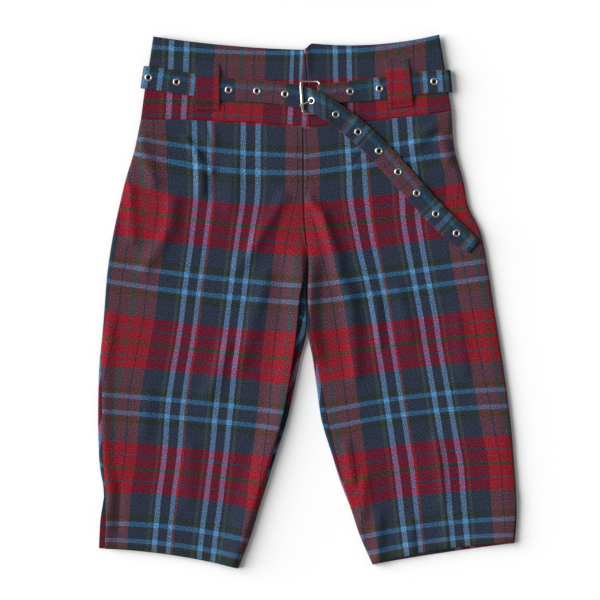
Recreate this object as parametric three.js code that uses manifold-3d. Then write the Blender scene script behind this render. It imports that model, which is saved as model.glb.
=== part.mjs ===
// Tartan capri pants with their own belt, laid flat with the front up.
// Millimetres, +Z up. The origin is under the middle of the garment, on the surface it lies on.
// The waist points to +Y and the front faces +Z.

import * as THREE from 'three';
import Module from 'manifold-3d';

const wasm = await Module();
wasm.setup();

// Driving sizes
const SEAM_GAP = 0.3;
const CLOTH = 1.5;
const BELT_WIDTH = 29;
const BELT_THICK = 2.0;
const LOOP_THICK = 1.2;
const LOOP_WIDTH = 31.5;
const BACK_LOOP_THICK = 1.0;
const BACK_LOOP_WIDTH = 26;
const ROLLER_RADIUS = 2.35;
const FRAME_WIRE_RADIUS = 1.25;
const PRONG_RADIUS = 1.0;
const EYELET_FLANGE_RADIUS = 5.0;
const EYELET_BORE_RADIUS = 2.6;
const EYELET_PITCH = 36.7;

// The back loop clears the surface below it by this much
const LOOP_CLEAR = 0.15;

// Heights of the layers at the waist, as the middle of each layer
const BELT_BACK_Z = BACK_LOOP_THICK + LOOP_CLEAR + SEAM_GAP + BELT_THICK / 2;
const BAND_BACK_Z = BELT_BACK_Z + BELT_THICK / 2 + SEAM_GAP + CLOTH / 2;
const BAND_HOLLOW = 1.0;
const BAND_FRONT_Z = BAND_BACK_Z + CLOTH + BAND_HOLLOW;
const BELT_FRONT_Z = BAND_FRONT_Z + CLOTH / 2 + SEAM_GAP + BELT_THICK / 2;
const BUCKLE_Z = BELT_FRONT_Z + BELT_THICK / 2 + SEAM_GAP + ROLLER_RADIUS;

// Heights of the two layers of a leg that lies flat
const LEG_BACK_Z = CLOTH / 2;
const LEG_FRONT_Z = 5.55;

// Lengths down the cloth where the inseam starts and where the hem slit opens
const CROTCH = { start: 60, end: 86 };
const SLIT = { start: 389, end: 401 };

const COLOURS = { cloth: 0x35304a, belt: 0x2c3a5e, metal: 0xb9b4ac };

const clothMaterial = (colour = COLOURS.cloth) =>
  new THREE.MeshStandardMaterial({ color: colour, roughness: 0.92, metalness: 0 });
const metalMaterial = () =>
  new THREE.MeshStandardMaterial({ color: COLOURS.metal, roughness: 0.28, metalness: 1 });

// Leg sections from the waist seam down to the hem. Each row is one line of the cloth's weft:
// down = length along the cloth, outer and inner = its two ends, sag = rise of its middle,
// sideSeam and inseam = how far the front panel stops short of the outline at each end,
// low and high = heights of the back and front layers.
const LEG_COLUMNS = ['down', 'outerX', 'outerY', 'innerX', 'innerY', 'sag', 'sideSeam', 'inseam', 'low', 'high'];

const table = (columns, rows) =>
  rows.map((row) => Object.fromEntries(columns.map((name, index) => [name, row[index]])));

const LEFT_LEG = table(LEG_COLUMNS, [
  [-90, -216.5, 236.1, -5.9, 226.5, 2.9, 0.5, 0.5, BAND_BACK_Z, BAND_FRONT_Z],
  [-45, -224.9, 196.3, -5.6, 177.5, 0, 0.5, 0.5, 1.7, 6.2],
  [0, -236.7, 156.7, -5.3, 128.4, -5, 0.5, 0.5, LEG_BACK_Z, LEG_FRONT_Z],
  [33, -244.9, 122.2, -3.3, 93.6, -5, 0.5, 0.5, LEG_BACK_Z, LEG_FRONT_Z],
  [66, -252.5, 87.1, 0.4, 57.9, -3, 0.5, 0.5, LEG_BACK_Z, LEG_FRONT_Z],
  [115, -260.1, 37.1, -0.5, 8.0, -2, 0.5, 9.0, LEG_BACK_Z, LEG_FRONT_Z],
  [162, -264.0, -11.4, -1.6, -41.0, -1.3, 0.5, 12.7, LEG_BACK_Z, LEG_FRONT_Z],
  [195, -266.9, -46.8, -9.9, -75.4, -0.5, 0.8, 9.0, LEG_BACK_Z, LEG_FRONT_Z],
  [228, -270.5, -82.3, -16.3, -108.6, 2, 3.2, 7.8, LEG_BACK_Z, LEG_FRONT_Z],
  [277, -272.0, -130.7, -26.7, -154.7, 1, 5.6, 6.5, LEG_BACK_Z, LEG_FRONT_Z],
  [325, -271.8, -178.8, -41.3, -200.9, 0, 6.0, 4.8, LEG_BACK_Z, LEG_FRONT_Z],
  [358, -269.9, -213.2, -52.3, -236.0, 3, 5.3, 2.3, LEG_BACK_Z, LEG_FRONT_Z],
  [391, -264.9, -247.7, -63.3, -271.1, 7, 3.0, 0.5, LEG_BACK_Z, LEG_FRONT_Z],
  [427, -269.4, -284.7, -74.8, -308.1, 6, 8.2, 0.5, LEG_BACK_Z, LEG_FRONT_Z],
  [465, -271.3, -320.5, -89.6, -346.6, 5, 8.7, 0.5, LEG_BACK_Z, LEG_FRONT_Z],
]);

const RIGHT_LEG = table(LEG_COLUMNS, [
  [-90, 186.8, 247.3, -5.6, 225.1, -1, 0.5, 0.5, BAND_BACK_Z, BAND_FRONT_Z],
  [-45, 190.6, 200.9, -5.3, 177.5, 0, 0.5, 0.5, 1.7, 6.2],
  [0, 202.8, 154.6, -5.0, 128.4, -1, 0.5, 0.5, LEG_BACK_Z, LEG_FRONT_Z],
  [33, 209.4, 122.2, -3.0, 93.6, -1, 0.5, 0.5, LEG_BACK_Z, LEG_FRONT_Z],
  [66, 224.8, 89.8, 0.7, 57.9, -1, 0.5, 0.5, LEG_BACK_Z, LEG_FRONT_Z],
  [115, 234.7, 41.0, -0.2, 8.0, 0, 0.5, 0.8, LEG_BACK_Z, LEG_FRONT_Z],
  [162, 242.1, -7.4, 0.3, -39.1, 0, 0.5, 4.2, LEG_BACK_Z, LEG_FRONT_Z],
  [195, 247.7, -41.3, 6.5, -72.8, 1, 0.5, 4.8, LEG_BACK_Z, LEG_FRONT_Z],
  [228, 253.0, -75.3, 11.3, -106.2, 2, 0.5, 6.8, LEG_BACK_Z, LEG_FRONT_Z],
  [277, 260.0, -124.5, 18.1, -153.8, 3, 0.5, 8.6, LEG_BACK_Z, LEG_FRONT_Z],
  [325, 265.6, -173.7, 32.4, -200.9, 3.8, 0.5, 5.3, LEG_BACK_Z, LEG_FRONT_Z],
  [358, 268.2, -208.3, 42.6, -234.0, 4.5, 0.5, 4.0, LEG_BACK_Z, LEG_FRONT_Z],
  [391, 270.9, -242.8, 55.6, -267.2, 5, 0.5, 0.8, LEG_BACK_Z, LEG_FRONT_Z],
  [427, 272.1, -278.2, 68.0, -304.2, 3, 2.0, 0.5, LEG_BACK_Z, LEG_FRONT_Z],
  [465, 269.2, -313.8, 84.4, -341.6, 1.5, 2.0, 0.5, LEG_BACK_Z, LEG_FRONT_Z],
]);

// Waistband rows from its top edge to the waist seam
const BAND_COLUMNS = ['down', 'outerX', 'outerY', 'innerX', 'innerY', 'sag'];
const LEFT_BAND = table(BAND_COLUMNS, [
  [0, -200.3, 344.1, -3.9, 326.6, -3.2],
  [30, -204.8, 314.0, -1.6, 303.6, -2],
  [70, -211.3, 275.0, 1.6, 265.9, 0],
  [108, -216.5, 236.1, 4.6, 226.5, 2.6],
]);
const RIGHT_BAND = table(BAND_COLUMNS, [
  [0, 171.0, 346.5, -3.6, 336.2, -8],
  [30, 176.8, 311.4, -1.3, 306.2, -5],
  [70, 182.7, 272.4, 1.9, 265.9, -2],
  [108, 186.8, 247.3, 4.9, 226.3, -1],
]);

// The back waistband hides behind the front one: its top edge is lower in the middle, a little
// lower at the sides, and level with it again further down
const BACK_BAND_DROP = 9;
const BACK_SIDE_DROP = 0.15;
const BACK_BAND_LEVEL = 50;

// Largest folds of the two front panels: a line, half its width and its height
const FOLD_COLUMNS = ['x1', 'y1', 'x2', 'y2', 'spread', 'height'];
const LEFT_FOLDS = table(FOLD_COLUMNS, [
  [-150, 205, -122, 168, 9, 1.4],
  [-45, 22, -60, -60, 14, 1.8],
  [-255, -125, -240, -300, 12, 1.6],
  [-190, 180, -175, 140, 12, 1.2],
  [-118, 150, -140, 95, 13, 1.0],
]);
const RIGHT_FOLDS = table(FOLD_COLUMNS, [
  [2, 140, 36, 60, 10, 2.2],
  [36, 60, 27, -60, 10, 2.4],
  [60, 60, 130, -10, 16, 1.6],
  [120, 100, 190, 30, 16, 1.4],
  [104, -290, 92, -330, 10, 1.0],
]);

const clamp = (value, low, high) => Math.min(Math.max(value, low), high);
const mix = (a, b, share) => a + (b - a) * share;
const smooth = (start, end, value) => {
  const share = clamp((value - start) / (end - start), 0, 1);
  return share * share * (3 - 2 * share);
};

// Smooth reading of a table at any value of its first column
function readRow(rows, down) {
  const last = rows.length - 2;
  let index = 0;
  while (index < last && down > rows[index + 1].down) index += 1;
  const from = rows[index];
  const to = rows[index + 1];
  const span = to.down - from.down;
  const share = (down - from.down) / span;
  const before = rows[Math.max(index - 1, 0)];
  const after = rows[Math.min(index + 2, rows.length - 1)];
  const result = { down };
  for (const name of Object.keys(from)) {
    if (name === 'down') continue;
    const slopeFrom = ((to[name] - before[name]) / (to.down - before.down)) * span;
    const slopeTo = ((after[name] - from[name]) / (after.down - from.down)) * span;
    const square = share * share;
    const cube = square * share;
    result[name] = from[name] * (2 * cube - 3 * square + 1) + slopeFrom * (cube - 2 * square + share)
      + to[name] * (3 * square - 2 * cube) + slopeTo * (cube - square);
  }
  return result;
}

// Height of the folds at a point
function foldHeight(folds, x, y) {
  let height = 0;
  for (const fold of folds) {
    const alongX = fold.x2 - fold.x1;
    const alongY = fold.y2 - fold.y1;
    const square = alongX * alongX + alongY * alongY;
    const share = clamp(((x - fold.x1) * alongX + (y - fold.y1) * alongY) / square, 0, 1);
    const away = Math.hypot(x - fold.x1 - share * alongX, y - fold.y1 - share * alongY);
    height = Math.max(height, fold.height * Math.exp(-((away / fold.spread) ** 2)));
  }
  return height;
}

// A closed solid between two grids of points with the same rows and columns
function wallBetween(outside, inside) {
  const rows = outside.length;
  const columns = outside[0].length;
  const points = [...outside.flat(), ...inside.flat()];
  const at = (side, row, column) => side * rows * columns + row * columns + column;
  const faces = [];
  const quad = (a, b, c, d) => faces.push(a, b, c, a, c, d);
  for (let row = 0; row < rows - 1; row += 1) {
    for (let column = 0; column < columns - 1; column += 1) {
      quad(at(0, row, column), at(0, row + 1, column), at(0, row + 1, column + 1), at(0, row, column + 1));
      quad(at(1, row, column), at(1, row, column + 1), at(1, row + 1, column + 1), at(1, row + 1, column));
    }
  }
  for (let row = 0; row < rows - 1; row += 1) {
    quad(at(0, row, 0), at(1, row, 0), at(1, row + 1, 0), at(0, row + 1, 0));
    quad(at(0, row + 1, columns - 1), at(1, row + 1, columns - 1), at(1, row, columns - 1), at(0, row, columns - 1));
  }
  for (let column = 0; column < columns - 1; column += 1) {
    quad(at(0, 0, column + 1), at(1, 0, column + 1), at(1, 0, column), at(0, 0, column));
    quad(at(0, rows - 1, column), at(1, rows - 1, column), at(1, rows - 1, column + 1), at(0, rows - 1, column + 1));
  }
  return facingOut(points, faces);
}

// Turns the faces over if they face in
function facingOut(points, faces) {
  let volume = 0;
  for (let face = 0; face < faces.length; face += 3) {
    const [a, b, c] = [points[faces[face]], points[faces[face + 1]], points[faces[face + 2]]];
    volume += a.dot(b.clone().cross(c));
  }
  if (volume < 0) faces.reverse();
  const geometry = new THREE.BufferGeometry();
  geometry.setAttribute('position', new THREE.Float32BufferAttribute(points.flatMap((p) => [p.x, p.y, p.z]), 3));
  geometry.setIndex(faces);
  return geometry;
}

// A point on the rounded fold that joins the front and back layers at a side. It is measured
// along the cloth from the outermost point, upwards on the front and downwards on the back.
function onFold(length, radius) {
  const quarter = (radius * Math.PI) / 2;
  const edge = CLOTH / 2 + radius;
  if (length > quarter) return { inward: edge + length - quarter, rise: radius, out: 0, up: 1 };
  if (length < -quarter) return { inward: edge - length - quarter, rise: -radius, out: 0, up: -1 };
  const angle = length / radius;
  return {
    inward: edge - radius * Math.cos(angle),
    rise: radius * Math.sin(angle),
    out: Math.cos(angle),
    up: Math.sin(angle),
  };
}

// Length along the fold at which the front panel ends, from how far it stops short of the outline
function seamLength(shortfall, radius) {
  const edge = CLOTH / 2 + radius;
  if (shortfall >= edge) return (radius * Math.PI) / 2 + shortfall - edge;
  return radius * Math.acos(clamp((edge - shortfall) / radius, 0, 1));
}

const END_STEPS = { front: 2, back: 5 };
const FLAT_REACH = 5;

// Points of one end of a section, from the panel's edge inwards. open is 1 where the layers part,
// at the centre seam and in the hem slit, and 0 where the cloth folds round.
function endOfSection(layer, radius, shortfall, open) {
  const quarter = (radius * Math.PI) / 2;
  const seam = seamLength(shortfall, radius);
  const steps = END_STEPS[layer];
  const points = [];
  for (let step = 0; step <= steps; step += 1) {
    const share = step / steps;
    const from = layer === 'front' ? seam + SEAM_GAP / 2 : seam - SEAM_GAP / 2;
    const to = layer === 'front' ? Math.max(seam, quarter) + FLAT_REACH : -quarter;
    const folded = onFold(mix(from, to, share), radius);
    const edge = layer === 'front' ? Math.max(shortfall, SEAM_GAP / 2) : SEAM_GAP / 2;
    const side = layer === 'front' ? 1 : -1;
    const flatEnd = layer === 'front' ? edge + radius + FLAT_REACH : CLOTH / 2 + radius;
    const flat = { inward: mix(edge, flatEnd, share), rise: side * radius, out: 0, up: side };
    const point = {};
    for (const name of Object.keys(flat)) point[name] = mix(folded[name], flat[name], open);
    const size = Math.hypot(point.out, point.up);
    point.out /= size;
    point.up /= size;
    points.push(point);
  }
  return points;
}

// Folds rise from nothing between two distances from a panel's ends and two lengths down the cloth
const FOLDS_FADE = { end: 4, full: 22, top: -80, below: -50 };

// One section of a panel as outside and inside points
function section(layer, row, ends, folds, flatSteps) {
  const start = new THREE.Vector2(row.outerX, row.outerY);
  const finish = new THREE.Vector2(row.innerX, row.innerY);
  const width = start.distanceTo(finish);
  const along = finish.clone().sub(start).divideScalar(width);
  const radius = (row.high - row.low) / 2;
  const middle = (row.high + row.low) / 2;
  const first = endOfSection(layer, radius, ends.outer.shortfall, ends.outer.open)
    .map((p) => ({ place: p.inward, rise: p.rise, out: -p.out, up: p.up }));
  const final = endOfSection(layer, radius, ends.inner.shortfall, ends.inner.open)
    .map((p) => ({ place: width - p.inward, rise: p.rise, out: p.out, up: p.up })).reverse();
  const from = first[first.length - 1];
  const to = final[0];
  const flat = [];
  for (let step = 1; step < flatSteps; step += 1) {
    const share = step / flatSteps;
    flat.push({ place: mix(from.place, to.place, share), rise: mix(from.rise, to.rise, share), out: 0, up: from.up });
  }
  const outside = [];
  const inside = [];
  const half = CLOTH / 2;
  for (const point of [...first, ...flat, ...final]) {
    const share = point.place / width;
    const x = start.x + along.x * point.place;
    const bow = (row.sag + (row.lift ?? 0)) * 4 * share * (1 - share);
    const y = start.y + along.y * point.place + bow;
    const nearEnd = Math.min(point.place, width - point.place);
    const faded = smooth(FOLDS_FADE.end, FOLDS_FADE.full, nearEnd) * smooth(FOLDS_FADE.top, FOLDS_FADE.below, row.down);
    const relief = layer === 'front' ? foldHeight(folds, x, y) * faded : 0;
    const z = middle + point.rise + relief;
    const push = (list, side) => list.push(new THREE.Vector3(
      x + along.x * point.out * half * side,
      y + along.y * point.out * half * side,
      z + point.up * half * side,
    ));
    push(outside, 1);
    push(inside, -1);
  }
  return { outside, inside };
}

const LEG_LINES = [-90, -75, -50, -25, 0, 25, 50, 60, 68, 76, 86, 100, 118, 142, 166, 196, 228, 262, 296, 330,
  360, 389, 393, 397, 401, 422, 444, 465];
const LEG_FLAT_STEPS = { front: 8, back: 4 };
const FRONT_HEM_LIFT = { left: 0, right: 4.5 };

// One panel of a leg, front or back
function legPanel(layer, rows, folds, hemLift) {
  const outside = [];
  const inside = [];
  const top = LEG_LINES[0];
  const bottom = LEG_LINES[LEG_LINES.length - 1];
  for (const down of LEG_LINES) {
    const row = readRow(rows, down);
    if (down === top) {
      row.outerY -= SEAM_GAP / 2;
      row.innerY -= SEAM_GAP / 2;
    }
    if (down === bottom && layer === 'front') row.lift = hemLift;
    const ends = {
      outer: { shortfall: row.sideSeam, open: smooth(SLIT.start, SLIT.end, down) },
      inner: { shortfall: row.inseam, open: 1 - smooth(CROTCH.start, CROTCH.end, down) },
    };
    const line = section(layer, row, ends, folds, LEG_FLAT_STEPS[layer]);
    outside.push(line.outside);
    inside.push(line.inside);
  }
  return wallBetween(outside, inside);
}

const BAND_LINES = [0, 15, 30, 50, 70, 89, 108];
const BAND_FLAT_STEPS = 5;

// Adds the layers' heights to a waistband row, and its half seam gap at the waist seam
function bandRow(rows, down) {
  const row = readRow(rows, down);
  row.low = BAND_BACK_Z;
  row.high = BAND_FRONT_Z;
  if (down === BAND_LINES[BAND_LINES.length - 1]) {
    row.outerY += SEAM_GAP / 2;
    row.innerY += SEAM_GAP / 2;
  }
  return row;
}

function frontBand(rows) {
  const outside = [];
  const inside = [];
  for (const down of BAND_LINES) {
    const ends = { outer: { shortfall: SEAM_GAP, open: 0 }, inner: { shortfall: SEAM_GAP / 2, open: 1 } };
    const line = section('front', bandRow(rows, down), ends, [], BAND_FLAT_STEPS);
    outside.push(line.outside);
    inside.push(line.inside);
  }
  return wallBetween(outside, inside);
}

// The back waistband runs from one side to the other in one piece, behind the front one
function backBand() {
  const outside = [];
  const inside = [];
  for (const down of BAND_LINES) {
    const left = bandRow(LEFT_BAND, down);
    const right = bandRow(RIGHT_BAND, down);
    const drop = BACK_BAND_DROP * (1 - smooth(0, BACK_BAND_LEVEL, down));
    const middleX = (left.innerX + right.innerX) / 2;
    const middleY = (left.innerY + right.innerY) / 2 - drop;
    const ends = { outer: { shortfall: SEAM_GAP, open: 0 }, inner: { shortfall: 0, open: 1 } };
    const halves = [left, right].map((row) => {
      row.innerX = middleX;
      row.innerY = middleY;
      row.outerY -= drop * BACK_SIDE_DROP;
      return section('back', row, ends, [], BAND_FLAT_STEPS);
    });
    outside.push([...halves[0].outside.slice(0, -1), ...halves[1].outside.slice(0, -1).reverse()]);
    inside.push([...halves[0].inside.slice(0, -1), ...halves[1].inside.slice(0, -1).reverse()]);
  }
  return wallBetween(outside, inside);
}

// A solid swept through rings of points, with flat ends unless it closes on itself
function sweep(rings, closed = false) {
  const count = rings[0].length;
  const points = rings.flat();
  const faces = [];
  const links = closed ? rings.length : rings.length - 1;
  for (let ring = 0; ring < links; ring += 1) {
    const next = (ring + 1) % rings.length;
    for (let side = 0; side < count; side += 1) {
      const beside = (side + 1) % count;
      const [a, b] = [ring * count + side, ring * count + beside];
      const [c, d] = [next * count + beside, next * count + side];
      faces.push(a, b, c, a, c, d);
    }
  }
  if (!closed) {
    const last = (rings.length - 1) * count;
    for (let side = 1; side < count - 1; side += 1) {
      faces.push(0, side + 1, side);
      faces.push(last, last + side, last + side + 1);
    }
  }
  return facingOut(points, faces);
}

// Middle, across and outward vectors at a parameter of a strip's path
function stationOn(curve, parameter, acrossAt) {
  const middle = curve.getPoint(parameter);
  const direction = curve.getTangent(parameter);
  const across = acrossAt(direction, middle);
  const outward = direction.clone().cross(across);
  const square = outward.length();
  return { middle, across, outward: outward.normalize(), square };
}

// Parameters of the sections of a strip, closer together where its path bends
function sectionParameters(curve, longestStep) {
  const knots = curve.points;
  const spans = knots.length - 1;
  const parameters = [0];
  for (let span = 0; span < spans; span += 1) {
    const steps = Math.max(1, Math.round(knots[span].distanceTo(knots[span + 1]) / longestStep));
    for (let step = 1; step <= steps; step += 1) parameters.push((span + step / steps) / spans);
  }
  return parameters;
}

// A flat strip of cloth along a path
function strip(curve, acrossAt, widthAt, thick, longestStep) {
  const rings = sectionParameters(curve, longestStep).map((parameter) => {
    const { middle, outward, across, square } = stationOn(curve, parameter, acrossAt);
    const reach = across.clone().multiplyScalar(widthAt(middle) / 2 / square);
    const lift = outward.clone().multiplyScalar(thick / 2);
    return [
      middle.clone().add(reach).add(lift),
      middle.clone().sub(reach).add(lift),
      middle.clone().sub(reach).sub(lift),
      middle.clone().add(reach).sub(lift),
    ];
  });
  return sweep(rings);
}

function path(points) {
  const curve = new THREE.CatmullRomCurve3(points, false, 'centripetal');
  curve.arcLengthDivisions = 1200;
  return curve;
}
const spot = (x, y, z) => new THREE.Vector3(x, y, z);
const levelAcross = (direction) => new THREE.Vector3(-direction.y, direction.x, 0).normalize();

// Points round part of a circle that stands up along X
function arcPoints(centreX, centreZ, radius, fromDegrees, toDegrees, steps, yAt) {
  const points = [];
  for (let step = 0; step <= steps; step += 1) {
    const angle = THREE.MathUtils.degToRad(mix(fromDegrees, toDegrees, step / steps));
    const x = centreX + radius * Math.cos(angle);
    points.push(spot(x, yAt(x), centreZ + radius * Math.sin(angle)));
  }
  return points;
}

// Buckle bars and their places across the belt
const ROLLER_BAR_X = -7.4;
const HINGE_BAR_X = 16.5;
const BUCKLE_MIDDLE = { x: (ROLLER_BAR_X + HINGE_BAR_X) / 2, y: 264.5 };
const BUCKLE_HEIGHT = 41.1;
const BUCKLE_CORNER = 3;
const BUCKLE_TURN = 3.8;
const BUCKLE_SAG = 2.4;
const BUCKLE_LEAN = Math.tan(THREE.MathUtils.degToRad(BUCKLE_TURN));
const buckleAcross = new THREE.Vector3(-BUCKLE_LEAN, 1, 0).normalize();
const barShift = (y) => (BUCKLE_MIDDLE.y - y) * BUCKLE_LEAN;
const UNDER_ROLLER = ROLLER_RADIUS + SEAM_GAP + BELT_THICK / 2;
const ROUND_HINGE = FRAME_WIRE_RADIUS + SEAM_GAP + BELT_THICK / 2;
const OVER_HINGE = ROUND_HINGE + BELT_THICK + SEAM_GAP;

// The belt is cut in three lengths, parted under the two front loops
const LEFT_LOOP_X = -129.8;
const RIGHT_LOOP_X = 118.2;
const BELT_PART = 0.8;

const spotsOf = (rows) => rows.map((row) => spot(row.x, row.y, row.z));

// Left length: under the roller, up through the frame, over the hinge bar, and out as the free end
const TO_ROLLER = table(['x', 'y', 'z'], [
  [LEFT_LOOP_X + BELT_PART, 278, BELT_FRONT_Z],
  [-112.5, 275.3, BELT_FRONT_Z],
  [-76.8, 273.6, BELT_FRONT_Z],
  [-40.4, 271.0, BELT_FRONT_Z],
  [-18, 266.8, BELT_FRONT_Z],
]);
const UNDER_ROLLER_FROM = -95;
const OVER_HINGE_TO = 84;
const BELOW = { y: 265, x: -8, slope: 0.1, curveX: -2, curve: 0.1 };
const FREE_END = table(['x', 'y', 'z'], [
  [31.3, 246.0, 15.4],
  [62.3, 222.8, 11.8],
  [89.1, 198.9, 10.2],
  [114, 172.3, 9.8],
  [143.7, 138.5, 9.7],
  [168.4, 111.8, 9.6],
  [191.5, 90.4, 9.6],
  [216.0, 70.6, 9.6],
]);

function buckleEndPath() {
  const lean = Math.asin((UNDER_ROLLER + OVER_HINGE) / (HINGE_BAR_X - ROLLER_BAR_X));
  const leanDegrees = THREE.MathUtils.radToDeg(lean);
  const belowY = (x) =>
    BELOW.y - (x - BELOW.x) * BELOW.slope - Math.max(x - BELOW.curveX, 0) ** 1.5 * BELOW.curve;
  return path([
    ...spotsOf(TO_ROLLER),
    ...arcPoints(ROLLER_BAR_X, BUCKLE_Z, UNDER_ROLLER, UNDER_ROLLER_FROM, -90 + leanDegrees, 3, belowY),
    ...arcPoints(HINGE_BAR_X, BUCKLE_Z, OVER_HINGE, 90 + leanDegrees, OVER_HINGE_TO, 3, belowY),
    ...spotsOf(FREE_END),
  ]);
}

// Right length: a short return under the belt, round the hinge bar, and on to the right loop.
// fromBar is measured from the hinge bar, and lift from the height the belt lies at.
const RETURN = table(['fromBar', 'lift'], [[28, 0], [14, 0.1]]);
const DOUBLED = BELT_THICK + SEAM_GAP;
const TO_RIGHT_LOOP = table(['fromBar', 'lift'], [
  [14, DOUBLED + 1.2],
  [28, DOUBLED + 0.1],
  [42, 0.6],
  [54, 0],
  [73.5, 0],
  [RIGHT_LOOP_X - BELT_PART - HINGE_BAR_X, 0],
]);
const HINGE_START_Y = 268.2;
const HINGE_SLOPE = 0.105;
function hingeEndPath() {
  const barX = HINGE_BAR_X + barShift(HINGE_START_Y);
  const yAt = (x) => HINGE_START_Y + (x - barX) * HINGE_SLOPE;
  const fromBar = (rows) => rows.map((row) => {
    const x = HINGE_BAR_X + row.fromBar;
    return spot(x, yAt(x), BELT_FRONT_Z + row.lift);
  });
  return path([
    ...fromBar(RETURN),
    ...arcPoints(barX, BUCKLE_Z, ROUND_HINGE, -90, -270, 8, yAt),
    ...fromBar(TO_RIGHT_LOOP),
  ]);
}

// Back length: from the left loop round the back to the right loop
const BELT_SIDE = { left: -214.9, leftY: 291, right: 186.9, rightY: 286, radius: (BELT_FRONT_Z - BELT_BACK_Z) / 2 };
const LEFT_OF_LOOP = table(['x', 'y', 'z'], [
  [LEFT_LOOP_X - BELT_PART, 278, BELT_FRONT_Z],
  [-165, 284, BELT_FRONT_Z],
  [-193, 288.6, BELT_FRONT_Z],
]);
const ACROSS_BACK = table(['x', 'y', 'z'], [
  [-170, 290, BELT_BACK_Z],
  [-60, 288, BELT_BACK_Z],
  [60, 287, BELT_BACK_Z],
  [150, 286, BELT_BACK_Z],
]);
const RIGHT_OF_LOOP = table(['x', 'y', 'z'], [
  [160, 285, BELT_FRONT_Z],
  [RIGHT_LOOP_X + BELT_PART, 279.6, BELT_FRONT_Z],
]);
function backRunPath() {
  const { left, leftY, right, rightY, radius } = BELT_SIDE;
  const middleZ = (BELT_FRONT_Z + BELT_BACK_Z) / 2;
  const leftFold = left + BELT_THICK / 2 + radius;
  const rightFold = right - BELT_THICK / 2 - radius;
  return path([
    ...spotsOf(LEFT_OF_LOOP),
    ...arcPoints(leftFold, middleZ, radius, 90, 270, 8, () => leftY),
    ...spotsOf(ACROSS_BACK),
    ...arcPoints(rightFold, middleZ, radius, -90, 90, 8, () => rightY),
    ...spotsOf(RIGHT_OF_LOOP),
  ]);
}

const BELT_STEP = 12;
const TIP = { width: 19, fromX: 192, toX: 222 };
const HINGE = { width: 26.6, fromX: 45, toX: 75 };
const SIDE_SLANT = { left: -0.15, right: 0.09 };

// A belt length with the path it follows, so that eyelets can be set on it
function beltLength(curve, acrossAt, widthAt) {
  return { curve, acrossAt, length: curve.getLength(), solid: strip(curve, acrossAt, widthAt, BELT_THICK, BELT_STEP) };
}

// Past these places the belt turns from the buckle's lie to its own
const OWN_LIE = { leftFrom: -14, leftTo: -40, rightFrom: 18, rightTo: 45 };

function buckleEnd() {
  const acrossAt = (direction, middle) => {
    const free = smooth(OWN_LIE.leftFrom, OWN_LIE.leftTo, middle.x) + smooth(OWN_LIE.rightFrom, OWN_LIE.rightTo, middle.x);
    return buckleAcross.clone().lerp(levelAcross(direction), free).normalize();
  };
  const widthAt = (middle) => mix(BELT_WIDTH, TIP.width, smooth(TIP.fromX, TIP.toX, middle.x));
  return beltLength(buckleEndPath(), acrossAt, widthAt);
}

function hingeEnd() {
  const widthAt = (middle) => mix(HINGE.width, BELT_WIDTH, smooth(HINGE.fromX, HINGE.toX, middle.x));
  return beltLength(hingeEndPath(), () => buckleAcross.clone(), widthAt);
}

function backRun() {
  const acrossAt = (direction, middle) => {
    const share = clamp((middle.x - BELT_SIDE.left) / (BELT_SIDE.right - BELT_SIDE.left), 0, 1);
    return new THREE.Vector3(mix(SIDE_SLANT.left, SIDE_SLANT.right, share), -1, 0).normalize();
  };
  return beltLength(backRunPath(), acrossAt, () => BELT_WIDTH);
}

// Rings of one profile turned about an axis, as radius and height pairs
function turned(profile, segments, place) {
  const rings = [];
  for (let segment = 0; segment < segments; segment += 1) {
    const angle = (segment / segments) * Math.PI * 2;
    rings.push(profile.map(([radius, height]) => place(radius * Math.cos(angle), radius * Math.sin(angle), height)));
  }
  return sweep(rings, true);
}

const EYELET_WALL = 0.45;
const EYELET_TOP = BELT_THICK / 2 + SEAM_GAP;
const EYELET_PROFILE = [
  [EYELET_BORE_RADIUS, -BELT_THICK / 2],
  [EYELET_BORE_RADIUS + EYELET_WALL, -BELT_THICK / 2],
  [EYELET_BORE_RADIUS + EYELET_WALL, EYELET_TOP],
  [EYELET_FLANGE_RADIUS, EYELET_TOP],
  [EYELET_FLANGE_RADIUS - 0.5, EYELET_TOP + 0.5],
  [EYELET_BORE_RADIUS + 0.8, EYELET_TOP + 0.7],
  [EYELET_BORE_RADIUS, EYELET_TOP + 0.3],
];
const EYELET_SEGMENTS = 12;

// A frame on a belt length, at a distance along it, that turns eyelet sizes into places
function beltFrame(belt, distance) {
  const parameter = belt.curve.getUtoTmapping(distance / belt.length);
  const { middle, outward, across } = stationOn(belt.curve, parameter, belt.acrossAt);
  const side = across.clone().cross(outward);
  return (a, b, height) => middle.clone()
    .addScaledVector(side, a).addScaledVector(across, b).addScaledVector(outward, height);
}

const eyelet = (belt, distance) => turned(EYELET_PROFILE, EYELET_SEGMENTS, beltFrame(belt, distance));

function eyeletHole(belt, distance) {
  const radius = EYELET_BORE_RADIUS + EYELET_WALL + SEAM_GAP;
  const place = beltFrame(belt, distance);
  const rings = [-BELT_THICK, BELT_THICK].map((height) => {
    const ring = [];
    for (let segment = 0; segment < EYELET_SEGMENTS; segment += 1) {
      const angle = (segment / EYELET_SEGMENTS) * Math.PI * 2;
      ring.push(place(radius * Math.cos(angle), radius * Math.sin(angle), height));
    }
    return ring;
  });
  return sweep(rings);
}

function toSolid(geometry) {
  const vertProperties = new Float32Array(geometry.attributes.position.array);
  return new wasm.Manifold(new wasm.Mesh({ numProp: 3, vertProperties, triVerts: new Uint32Array(geometry.index.array) }));
}

function toGeometry(solid) {
  const mesh = solid.getMesh();
  const geometry = new THREE.BufferGeometry();
  geometry.setAttribute('position', new THREE.BufferAttribute(new Float32Array(mesh.vertProperties), 3));
  geometry.setIndex(new THREE.BufferAttribute(new Uint32Array(mesh.triVerts), 1));
  return geometry;
}

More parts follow.
